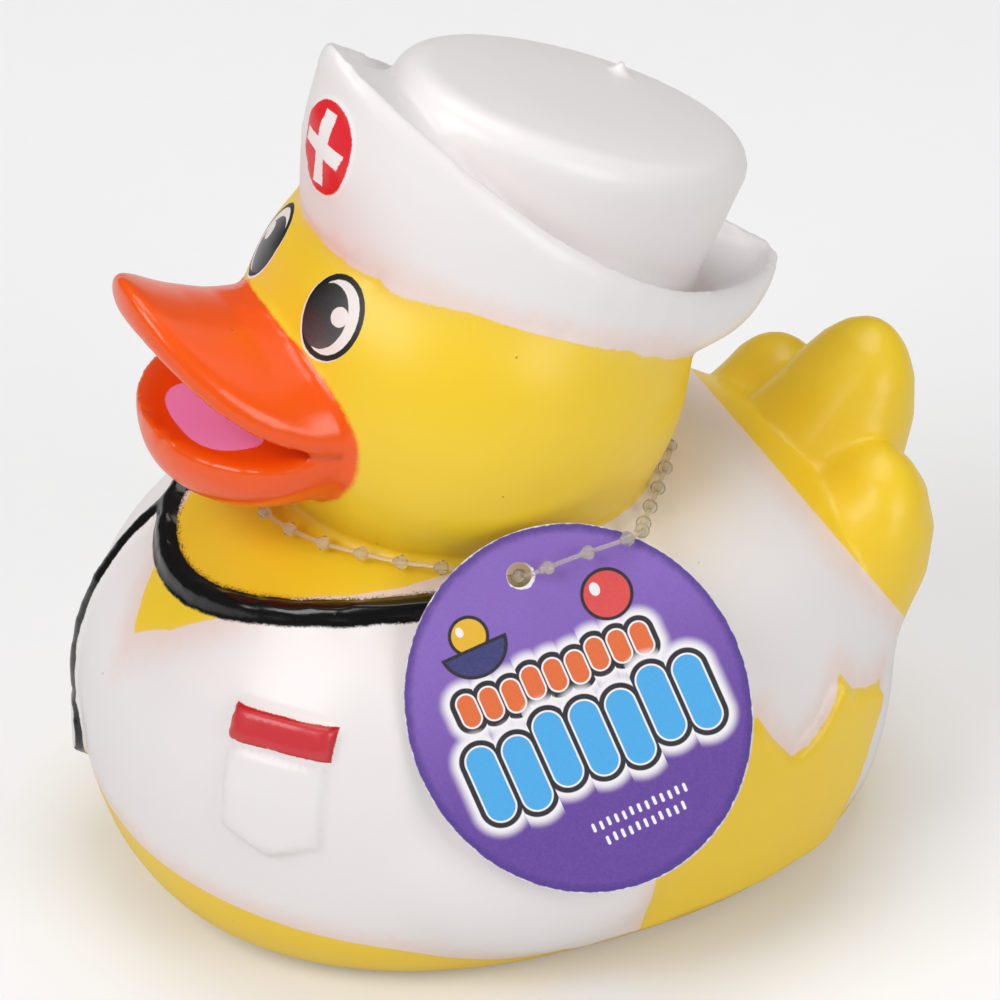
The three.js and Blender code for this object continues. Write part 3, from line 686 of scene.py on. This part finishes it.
def oval(nodes, u, v, half_u, half_v, centre=(0, 0)):
    """About how deep a place lies inside an oval, in millimetres"""
    du = nodes.math("DIVIDE", nodes.minus(u, centre[0]), half_u)
    dv = nodes.math("DIVIDE", nodes.minus(v, centre[1]), half_v)
    total = nodes.plus(nodes.times(du, du), nodes.times(dv, dv))
    share = nodes.minus(1.0, nodes.math("SQRT", total))
    return nodes.times(share, min(half_u, half_v))


def bar(nodes, u, v, half_u, half_v):
    """How deep a place lies inside a box, in millimetres"""
    across = nodes.minus(half_u, nodes.math("ABSOLUTE", u))
    up = nodes.minus(half_v, nodes.math("ABSOLUTE", v))
    return nodes.math("MINIMUM", across, up)


def painted_vinyl(settings):
    """Bare yellow vinyl under pearl white, orange, pink, black and red paint"""
    nodes = Nodes("painted_vinyl")
    wander = nodes.minus(nodes.noise(1.6, 4, 3.1), 0.5)
    grain = nodes.minus(nodes.noise(0.25, 2, 7.7), 0.5)
    cloud = nodes.noise(16, 2, 1.3)

    def paint_edge(depth, edge, softness, ragged):
        shaken = nodes.plus(depth, nodes.times(wander, ragged))
        shaken = nodes.plus(shaken, nodes.times(grain, ragged))
        return nodes.step(shaken, edge, softness)

    base = nodes.blend(cloud, settings.yellow, linear(246, 204, 40))
    rough = nodes.between(cloud, 0.36, 0.44)

    # White paint: a mist past its edge, thin along it, and warm round the neck as thin paint and
    # painted shade
    white_depth = nodes.field("white_paint")
    mist = nodes.step(nodes.plus(white_depth, nodes.times(grain, 3.0)), 0.1, 0.8)
    white = paint_edge(white_depth, 0, 0.12, 0.22)
    thin = nodes.step(nodes.plus(white_depth, nodes.times(wander, 3.0)), 2.2, -2.4)
    pearl = nodes.blend(nodes.times(thin, 0.75), settings.white, settings.cream)
    # Painted shade, partly thin paint: the white turns warm beige round the back of the neck, under
    # the head
    neck = nodes.plus(nodes.field("collar_reach"), nodes.times(wander, 0.12))
    shade = nodes.step(neck, 1.08, -0.3)
    pearl = nodes.blend(nodes.times(shade, 0.85), pearl, linear(255, 238, 212))
    base = nodes.blend(nodes.times(mist, 0.25), base, settings.cream)
    base = nodes.blend(white, base, pearl)
    rough = nodes.between(white, rough, nodes.between(cloud, 0.33, 0.42))

    # Bill and mouth, with painted shade in the crease at the mouth's corners
    orange = paint_edge(nodes.field("bill_paint"), 0, 0.25, 0.35)
    base = nodes.blend(orange, base, settings.orange)
    rough = nodes.between(orange, rough, 0.24)
    pink = paint_edge(nodes.field("mouth_paint"), 0, 0.12, 0.12)
    base = nodes.blend(pink, base, settings.pink)
    # Painted shade: darker orange along the crease at the mouth's corners
    crease = nodes.step(nodes.field("mouth_crease"), 0.3, 0.35)
    base = nodes.blend(nodes.times(crease, 0.6), base, linear(190, 54, 8))

    # Tube, with brown overspray on the neck's side, and chest piece
    tube_depth = nodes.field("tube_paint")
    burnt = nodes.plus(tube_depth, nodes.times(grain, 3.2))
    inside = nodes.step(nodes.field("tube_inside"), 0.3, 0.3)
    burnt = nodes.times(nodes.step(burnt, -0.1, 0.35), inside)
    base = nodes.blend(nodes.times(burnt, 0.8), base, linear(64, 32, 8))
    tube = paint_edge(tube_depth, 0.12, 0.12, 0.3)
    metal = nodes.step(nodes.field("chest_piece"), 1.3, 0.1)
    base = nodes.blend(tube, base, settings.black)
    base = nodes.blend(metal, base, linear(225, 222, 224))
    rough = nodes.between(tube, rough, 0.2)

    # Badge: red paint with painted shade along its rim and a painted sheen, lighter red, over its
    # middle
    across, up, out = nodes.axes("badge_place")
    plate = bar(nodes, across, up, *BADGE_HALF)
    plate = nodes.math("MINIMUM", plate, nodes.plus(out, PATCH_REACH))
    badge = paint_edge(plate, 0, 0.08, 0.35)
    # Painted shade on the badge's rim and painted sheen in its middle
    rim = nodes.step(plate, 0.4, -0.3)
    badge_sheen_and_shade = nodes.blend(rim, linear(208, 52, 60), settings.red)
    base = nodes.blend(badge, base, badge_sheen_and_shade)
    rough = nodes.between(badge, rough, 0.3)

    base, rough = paint_eyes(nodes, settings, base, rough)
    base, rough = paint_emblem(nodes, settings, base, rough, paint_edge)

    # Specks in the vinyl
    dark_specks = nodes.dots(3.2, 0.17, 0.4, 2.0)
    pale_specks = nodes.dots(2.7, 0.11, 0.25, 5.0)
    base = nodes.blend(nodes.times(dark_specks, 0.7), base, linear(110, 86, 56))
    base = nodes.blend(nodes.times(pale_specks, 0.5), base, linear(255, 244, 214))

    # Fine unevenness, pits and the thickness of the paint
    skin = nodes.times(nodes.noise(0.9, 3, 9.0), 0.6)
    skin = nodes.plus(skin, nodes.times(grain, 0.3))
    skin = nodes.minus(skin, nodes.times(nodes.dots(5.5, 0.24, 0.5, 8.0), 0.9))
    film = nodes.times(nodes.math("MAXIMUM", white, tube), 1.2)
    normal = nodes.bump(nodes.plus(skin, film), 0.4, 0.05)
    nodes.shader.inputs["Coat Weight"].default_value = 0.12
    nodes.shader.inputs["Coat Roughness"].default_value = 0.18
    return nodes.finish(base, rough, normal)


def paint_eyes(nodes, settings, base, rough):
    """Black ovals with a white crescent on the outer side, a wide grey pupil with a painted sheen
    that grows lighter towards one side, and a round spot
    """
    across, up, out = nodes.axes("eye_place")
    near = nodes.math("GREATER_THAN", out, -EYE_REACH)
    shaken = nodes.times(nodes.minus(nodes.noise(0.5, 3, 4.4), 0.5), 0.16)

    def area(half_across, half_up, centre):
        depth = oval(nodes, across, up, half_across, half_up, centre)
        return nodes.times(nodes.step(nodes.plus(depth, shaken), 0, 0.05), near)

    sliver = area(4.95, 5.95, (-0.2, -0.22))
    ground = area(4.9, 5.9, (0, 0))
    ring = area(4.1, 5.1, (0.05, -0.02))
    pupil = area(3.72, 4.46, (-1.12, -0.24))
    spot = area(1.38, 1.36, (1.32, 0.44))
    # Painted sheen: the pupil's grey grows lighter towards one side
    pupil_sheen = nodes.plus(nodes.times(across, 0.09), nodes.times(up, -0.05))
    pupil_sheen = nodes.plus(nodes.plus(pupil_sheen, 0.62), nodes.times(shaken, 1.5), clamp=True)
    white = linear(240, 232, 228)
    shine = nodes.minus(ring, pupil, clamp=True)
    shine = nodes.math("MAXIMUM", shine, spot)
    base = nodes.blend(sliver, base, white)
    base = nodes.blend(ground, base, settings.black)
    base = nodes.blend(nodes.times(pupil, pupil_sheen), base, linear(88, 88, 90))
    base = nodes.blend(nodes.times(shine, ground), base, white)
    return base, nodes.between(ground, rough, nodes.between(pupil, 0.5, 0.3))


def paint_emblem(nodes, settings, base, rough, paint_edge):
    """Red oval disc with a thin white outline and a white cross, on the front of the hat"""
    across, up, out = nodes.axes("emblem_place")
    near = nodes.math("GREATER_THAN", out, -EMBLEM_REACH)
    disc = oval(nodes, across, up, *EMBLEM_HALF)
    red = nodes.times(paint_edge(disc, 0, 0.08, 0.25), near)
    line = nodes.times(paint_edge(disc, -0.45, 0.1, 0.3), near)
    arms = []
    for turn, half_width, half_length in CROSS_ARMS:
        lean, upright = math.sin(turn), math.cos(turn)
        side = nodes.minus(nodes.times(across, upright), nodes.times(up, lean))
        along = nodes.plus(nodes.times(across, lean), nodes.times(up, upright))
        arms.append(bar(nodes, side, along, half_width, half_length))
    cross = nodes.math("MAXIMUM", *arms)
    white = linear(244, 240, 238)
    base = nodes.blend(line, base, white)
    base = nodes.blend(red, base, settings.emblem)
    base = nodes.blend(nodes.times(paint_edge(cross, 0, 0.08, 0.3), red), base, white)
    return base, nodes.between(red, rough, 0.34)


class BATHDUCK_OT_moulding(bpy.types.Operator):
    """Makes the vinyl moulding with its soft edges and its paint"""
    bl_idname = "bathduck.moulding"
    bl_label = "Duck Moulding"

    def execute(self, context):
        settings = context.scene.bathduck_moulding
        piece = moulding_outside()
        add_nub(piece)
        remesh = piece.modifiers.new("grid", "REMESH")
        remesh.mode = "VOXEL"
        remesh.voxel_size = settings.grid
        bpy.ops.object.modifier_apply(modifier=remesh.name)
        places = ease_surface(piece.data, settings.easing)
        move_points(piece.data, places)
        relief = paint_fields(piece.data, places)
        normals = np.empty(len(places) * 3)
        piece.data.vertex_normals.foreach_get("vector", normals)
        move_points(piece.data, places + normals.reshape(-1, 3) * relief[:, None])
        bpy.ops.object.shade_smooth()
        finish_piece(piece, "duck_moulding", painted_vinyl(settings))
        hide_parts("duck_shell")
        return {"FINISHED"}


def tie_points():
    return [Vector((px * MM, (py + SHIFT) * MM, pz * MM)) for px, py, pz in TIE_ROUTE]


def clear_nylon(settings):
    nodes = Nodes("clear_nylon")
    cloud = nodes.noise(0.8, 2)
    base = nodes.blend(cloud, settings.nylon, linear(250, 244, 228))
    nodes.shader.inputs["Transmission Weight"].default_value = 0.8
    nodes.shader.inputs["IOR"].default_value = 1.35
    return nodes.finish(base, nodes.between(cloud, 0.12, 0.24))


def smooth_line(points, steps):
    """A smooth line through the points, as many places as points times steps"""
    line = []
    for i in range(len(points) - 1):
        a, b = points[max(i - 1, 0)], points[i]
        c, d = points[i + 1], points[min(i + 2, len(points) - 1)]
        for k in range(steps):
            t = k / steps
            line.append(0.5 * (2 * b + (c - a) * t + (2 * a - 5 * b + 4 * c - d) * t * t
                               + (3 * b - a - 3 * c + d) * t**3))
    line.append(points[-1])
    return line


def strand_tube(line, diameter):
    curve = bpy.data.curves.new("strand", "CURVE")
    curve.dimensions = "3D"
    curve.bevel_depth = diameter / 2
    curve.bevel_resolution = 2
    curve.use_fill_caps = True
    spline = curve.splines.new("POLY")
    spline.points.add(len(line) - 1)
    for point, place in zip(spline.points, line):
        point.co = (*place, 1)
    strand = bpy.data.objects.new("tag_strand", curve)
    bpy.context.scene.collection.objects.link(strand)
    activate(strand)
    bpy.ops.object.convert(target="MESH")
    return bpy.context.view_layer.objects.active


def one_bead(diameter):
    """A round bead with a narrower collar on one side"""
    deselect()
    bpy.ops.mesh.primitive_uv_sphere_add(segments=16, ring_count=10, radius=diameter / 2)
    bead = bpy.context.view_layer.objects.active
    select_points(bead, lambda co: co.z < -BEAD_COLLAR_STARTS * diameter)
    bpy.ops.transform.resize(value=BEAD_COLLAR_SCALE)
    bpy.ops.object.mode_set(mode="OBJECT")
    bpy.ops.object.shade_smooth()
    return bead


def along_line(line, wanted):
    """Place and direction at a distance along a line"""
    left = wanted
    for start, end in zip(line, line[1:]):
        step = (end - start).length
        if left <= step:
            return start.lerp(end, left / step), (end - start).normalized()
        left -= step
    return line[-1], (line[-1] - line[-2]).normalized()


class BATHDUCK_OT_tie(bpy.types.Operator):
    """Makes the beaded nylon strand round the neck and the lock that closes it"""
    bl_idname = "bathduck.tie"
    bl_label = "Beaded Tie"

    def execute(self, context):
        settings = context.scene.bathduck_tie
        points = tie_points()
        line = smooth_line(points, LINE_STEPS)
        total = sum((b - a).length for a, b in zip(line, line[1:]))
        strand = strand_tube(line, settings.strand)
        pattern = one_bead(settings.bead)
        beads = []
        reach = settings.first
        while reach < total - settings.first * LAST_BEAD_SHARE:
            place, heading = along_line(line, reach)
            bead = bpy.data.objects.new("bead", pattern.data.copy())
            turn = heading.to_track_quat("Z", "Y").to_matrix().to_4x4()
            bead.matrix_world = Matrix.Translation(place) @ turn
            bpy.context.scene.collection.objects.link(bead)
            beads.append(bead)
            reach += settings.pitch
        bpy.data.objects.remove(pattern)
        activate(strand)
        for bead in beads:
            bead.select_set(True)
        bpy.ops.object.join()
        bpy.ops.object.transform_apply(location=True, rotation=True, scale=True)
        bpy.ops.object.shade_smooth_by_angle(angle=EDGE_ANGLE)
        material = clear_nylon(settings)
        finish_piece(strand, "tag_strand", material)
        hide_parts("tag_tie")

        lock = self.lock(points[0], points[-1])
        finish_piece(lock, "tie_lock", material)
        return {"FINISHED"}

    def lock(self, first, last):
        """A small barrel that both ends of the strand go into"""
        deselect()
        centre = (first + last) / 2 + Vector((0, 0, LOCK_LIFT * MM))
        bpy.ops.mesh.primitive_cylinder_add(vertices=24, radius=LOCK_RADIUS * MM,
                                            depth=LOCK_LENGTH * MM, location=centre,
                                            rotation=(0, math.pi / 2, 0))
        lock = bpy.context.view_layer.objects.active
        bpy.ops.object.transform_apply(location=True, rotation=True, scale=True)
        ends = lock.modifiers.new("round ends", "BEVEL")
        ends.width = LOCK_ROUNDING * MM
        ends.segments = 3
        bpy.ops.object.modifier_apply(modifier=ends.name)
        bpy.ops.object.shade_smooth_by_angle(angle=EDGE_ANGLE)
        return lock


def tag_leaf(settings, lift, slip):
    """One flat leaf of card with its hole, stored with its own print coordinates"""
    deselect()
    bpy.ops.mesh.primitive_circle_add(vertices=96, radius=1)
    leaf = bpy.context.view_layer.objects.active
    leaf.scale = (settings.half_width, settings.half_height, 1)
    bpy.ops.object.transform_apply(location=False, rotation=False, scale=True)
    bpy.ops.mesh.primitive_circle_add(vertices=96, radius=settings.hole / 2,
                                      location=(0, settings.hole_offset, 0))
    hole = bpy.context.view_layer.objects.active
    bpy.ops.object.transform_apply(location=True, rotation=False, scale=False)
    activate(leaf)
    hole.select_set(True)
    bpy.ops.object.join()
    bpy.ops.object.mode_set(mode="EDIT")
    bpy.ops.mesh.select_all(action="SELECT")
    bpy.ops.mesh.bridge_edge_loops(number_cuts=10, interpolation="LINEAR")
    bpy.ops.mesh.select_all(action="SELECT")
    bpy.ops.mesh.normals_make_consistent(inside=False)
    bpy.ops.object.mode_set(mode="OBJECT")
    if leaf.data.polygons[0].normal.z < 0:
        leaf.data.flip_normals()
    mesh = leaf.data
    places = np.array([v.co for v in mesh.vertices])
    add_field(mesh, "print_place", places / MM)
    card = leaf.modifiers.new("card", "SOLIDIFY")
    card.thickness = settings.leaf
    card.offset = 1
    bpy.ops.object.modifier_apply(modifier=card.name)
    turn = Matrix.Rotation(TAG_TURN, 4, "Z") @ Matrix.Rotation(TAG_LEAN, 4, "X")
    turn = turn @ Matrix.Rotation(TAG_ROLL, 4, "Z")
    centre = Vector(TAG_CENTRE) + Vector((0, SHIFT, 0))
    stack = Matrix.Translation((slip[0] * MM, slip[1] * MM, lift * MM))
    leaf.data.transform(Matrix.Translation(centre * MM) @ turn @ stack)
    bpy.ops.object.shade_smooth_by_angle(angle=TAG_EDGE_ANGLE)
    return leaf


def printed_card(settings):
    """Glossy card: rows of bars, two bubbles and a boat on violet with a painted sheen lighter
    towards its top, white where it is worn
    """
    nodes = Nodes("printed_card")
    u, v, _ = nodes.axes("print_place")
    grain = nodes.minus(nodes.noise(0.3, 2, 2.0), 0.5)
    fibre = nodes.minus(nodes.noise(1.1, 4, 6.0), 0.5)
    white, ink = linear(246, 243, 246), linear(22, 18, 30)
    blue, orange = linear(66, 172, 236), linear(232, 108, 42)
    coral, navy, yellow = linear(226, 72, 70), linear(48, 52, 116), linear(236, 184, 26)

    def cover(base, depth, edge, softness, fill):
        return nodes.blend(nodes.step(depth, edge, softness), base, fill)

    def row(base, centre, pitch, half_u, half_v, last, fill, backed=True):
        """A row of upright rounded bars at uneven heights, on a dark backing with a white halo"""
        shifted = nodes.minus(u, centre[0])
        index = nodes.math("FLOOR", nodes.plus(nodes.math("DIVIDE", shifted, pitch), 0.5))
        index = nodes.math("MINIMUM", nodes.math("MAXIMUM", index, -last), last)
        side = nodes.minus(shifted, nodes.times(index, pitch))
        wave = nodes.math("SINE", nodes.times(index, 2.1))
        lift = nodes.times(wave, half_v * 0.14)
        rise = nodes.math("ABSOLUTE", nodes.plus(nodes.minus(v, centre[1]), lift))
        rise = nodes.math("MAXIMUM", nodes.minus(rise, half_v - half_u), 0.0)
        reach = nodes.plus(nodes.times(side, side), nodes.times(rise, rise))
        depth = nodes.minus(half_u, nodes.math("SQRT", reach))
        if backed:
            base = cover(base, depth, -1.9, 0.8, white)
            base = cover(base, depth, -0.95, 0.08, ink)
            base = cover(base, depth, -0.25, 0.06, white)
        return cover(base, depth, 0, 0.06, fill)

    def bubble(base, centre, radius, fill):
        depth = oval(nodes, u, v, radius, radius, centre)
        base = cover(base, depth, -0.45, 0.08, ink)
        base = cover(base, depth, 0, 0.06, fill)
        gleam = (centre[0] - radius * 0.4, centre[1] + radius * 0.4)
        return cover(base, oval(nodes, u, v, radius * 0.22, radius * 0.3, gleam), 0, 0.06, white)

    # Painted sheen: the violet grows lighter towards the top of the card
    upper_sheen = nodes.step(v, 2.0, 16.0)
    base = nodes.blend(upper_sheen, settings.violet, settings.upper_sheen)
    base = row(base, (-1.0, 5.4), 3.1, 1.2, 2.2, 4, orange)
    base = row(base, (0.3, -4.4), 5.0, 1.95, 5.2, 3, blue)
    base = row(base, (2.0, -15.4), 1.1, 0.22, 0.62, 6, white, backed=False)
    base = row(base, (2.0, -17.6), 1.1, 0.22, 0.62, 5, white, backed=False)
    base = bubble(base, (9.6, 12.4), 3.1, coral)
    base = bubble(base, (-9.4, 14.8), 2.3, yellow)
    hull = oval(nodes, u, v, 4.2, 4.0, (-9.4, 13.4))
    hull = nodes.math("MINIMUM", hull, nodes.minus(12.8, v))
    base = cover(base, hull, -0.45, 0.08, ink)
    base = cover(base, hull, 0, 0.06, navy)

    edge = oval(nodes, u, v, settings.half_width / MM, settings.half_height / MM)
    ragged = nodes.plus(edge, nodes.times(fibre, 0.5))
    stripe = nodes.step(nodes.plus(edge, nodes.times(fibre, 0.8)), 0.9, -0.6)
    base = nodes.blend(nodes.times(stripe, 0.8), base, settings.rim)
    base = cover(base, ragged, 0.06, -0.1, white)
    tear = oval(nodes, u, v, 1.7, 1.7, (0.2, 19.25))
    base = cover(base, nodes.plus(tear, nodes.times(fibre, 0.9)), -0.12, 0.1, white)
    base = nodes.blend(nodes.times(nodes.plus(grain, 0.5), 0.07), base, white)
    normal = nodes.bump(nodes.plus(fibre, grain), 0.25, 0.03)
    nodes.shader.inputs["Coat Weight"].default_value = 0.2
    nodes.shader.inputs["Coat Roughness"].default_value = 0.2
    return nodes.finish(base, 0.34, normal)


def plain_card():
    nodes = Nodes("plain_card")
    fibre = nodes.noise(0.5, 4, 2.0)
    base = nodes.blend(fibre, linear(248, 246, 244), linear(226, 220, 222))
    return nodes.finish(base, 0.7, nodes.bump(fibre, 0.4, 0.04))


class BATHDUCK_OT_tag(bpy.types.Operator):
    """Makes the oval card tag from its printed front leaf and its plain back leaf"""
    bl_idname = "bathduck.tag"
    bl_label = "Card Tag"

    def execute(self, context):
        settings = context.scene.bathduck_tag
        front = tag_leaf(settings, FRONT_LEAF_LIFT, (0, 0))
        back = tag_leaf(settings, 0, BACK_LEAF_SLIP)
        finish_piece(front, "tag_front_leaf", printed_card(settings))
        finish_piece(back, "tag_back_leaf", plain_card())
        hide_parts("hang_tag")
        return {"FINISHED"}


class BATHDUCK_OT_camera(bpy.types.Operator):
    """Sets the camera at the height and side from which the duck is looked at"""
    bl_idname = "bathduck.camera"
    bl_label = "Camera"

    def execute(self, context):
        settings = context.scene.bathduck_stage
        aim = (Vector(CAMERA_AIM) + Vector((0, SHIFT, 0))) * MM
        back = Vector((math.sin(settings.azimuth) * math.cos(settings.elevation),
                       -math.cos(settings.azimuth) * math.cos(settings.elevation),
                       math.sin(settings.elevation)))
        camera = bpy.data.cameras.new("duck_camera")
        camera.sensor_width = 36
        camera.lens = camera.sensor_width * settings.distance / settings.view_height
        camera.clip_start = 0.01
        holder = bpy.data.objects.new("duck_camera", camera)
        context.scene.collection.objects.link(holder)
        holder.location = aim + back * settings.distance
        holder.rotation_euler = back.to_track_quat("Z", "Y").to_euler()
        context.scene.camera = holder
        return {"FINISHED"}


def lamp(name, place, size, power):
    light = bpy.data.lights.new(name, "AREA")
    light.shape = "RECTANGLE"
    light.size, light.size_y = size
    light.energy = power
    holder = bpy.data.objects.new(name, light)
    bpy.context.scene.collection.objects.link(holder)
    holder.location = place
    holder.rotation_euler = (Vector(place) - Vector(LAMP_AIM)).to_track_quat("Z", "Y").to_euler()


def floor_material(tint):
    """White floor that keeps the soft shadow and shows as a pale ground"""
    nodes = Nodes("floor_white")
    nodes.shader.inputs["Roughness"].default_value = 0.9
    nodes.shader.inputs["Specular IOR Level"].default_value = 0.1
    fleck = nodes.noise(6, 2)
    nodes.put(nodes.blend(fleck, tint, linear(228, 228, 230)), nodes.shader.inputs["Base Color"])
    path = nodes.add("ShaderNodeLightPath")
    eye, glass = path.outputs["Is Camera Ray"], path.outputs["Is Transmission Ray"]
    seen = nodes.plus(eye, glass, clamp=True)
    nodes.shader.inputs["Emission Color"].default_value = (1, 1, 1, 1)
    nodes.put(nodes.times(seen, FLOOR_GLOW), nodes.shader.inputs["Emission Strength"])
    return nodes.material


class BATHDUCK_OT_stage(bpy.types.Operator):
    """Makes the pale floor and the soft studio light"""
    bl_idname = "bathduck.stage"
    bl_label = "Stage"

    def execute(self, context):
        settings = context.scene.bathduck_stage
        deselect()
        bpy.ops.mesh.primitive_plane_add(size=6)
        floor = bpy.context.view_layer.objects.active
        floor.name = "floor"
        floor.data.materials.append(floor_material(settings.floor))
        world = bpy.data.worlds.new("studio")
        world.use_nodes = True
        tree = world.node_tree
        ground = tree.nodes["Background"]
        ground.inputs["Color"].default_value = (1, 1, 1, 1)
        path = tree.nodes.new("ShaderNodeLightPath")
        strength = tree.nodes.new("ShaderNodeMapRange")
        tree.links.new(path.outputs["Is Glossy Ray"], strength.inputs["Value"])
        strength.inputs["To Min"].default_value = WORLD_STRENGTH
        strength.inputs["To Max"].default_value = WORLD_GLOSS_STRENGTH
        tree.links.new(strength.outputs["Result"], ground.inputs["Strength"])
        context.scene.world = world
        lamp("key_lamp", place=(0.25, -0.75, 0.75), size=(0.55, 0.55), power=4.9)
        lamp("fill_lamp", place=(0.85, 0.35, 0.5), size=(0.5, 0.5), power=2.7)
        lamp("top_lamp", place=(-0.15, 0.1, 0.95), size=(0.6, 0.6), power=3.0)
        context.scene.view_settings.view_transform = "Standard"
        return {"FINISHED"}


class BATHDUCK_PT_panel(bpy.types.Panel):
    bl_label = "Bath Duck"
    bl_idname = "BATHDUCK_PT_panel"
    bl_space_type = "VIEW_3D"
    bl_region_type = "UI"
    bl_category = "Bath Duck"

    def draw(self, context):
        for operator in OPERATORS:
            self.layout.operator(operator.bl_idname)
        for owner, kind in SETTINGS.items():
            box = self.layout.box()
            for name in kind.__annotations__:
                box.prop(getattr(context.scene, owner), name)


SETTINGS = {
    "bathduck_moulding": MouldingSettings,
    "bathduck_tie": TieSettings,
    "bathduck_tag": TagSettings,
    "bathduck_stage": StageSettings,
}
OPERATORS = [
    BATHDUCK_OT_camera,
    BATHDUCK_OT_tag,
    BATHDUCK_OT_tie,
    BATHDUCK_OT_moulding,
    BATHDUCK_OT_stage,
]


def register():
    for kind in [*SETTINGS.values(), *OPERATORS, BATHDUCK_PT_panel]:
        bpy.utils.register_class(kind)
    for owner, kind in SETTINGS.items():
        setattr(bpy.types.Scene, owner, PointerProperty(type=kind))


def unregister():
    for owner in SETTINGS:
        delattr(bpy.types.Scene, owner)
    for kind in reversed([*SETTINGS.values(), *OPERATORS, BATHDUCK_PT_panel]):
        bpy.utils.unregister_class(kind)


def main():
    register()
    bpy.ops.bathduck.camera()
    bpy.ops.bathduck.tag()
    bpy.ops.bathduck.tie()
    bpy.ops.bathduck.moulding()
    bpy.ops.bathduck.stage()


if __name__ == "__main__":
    main()
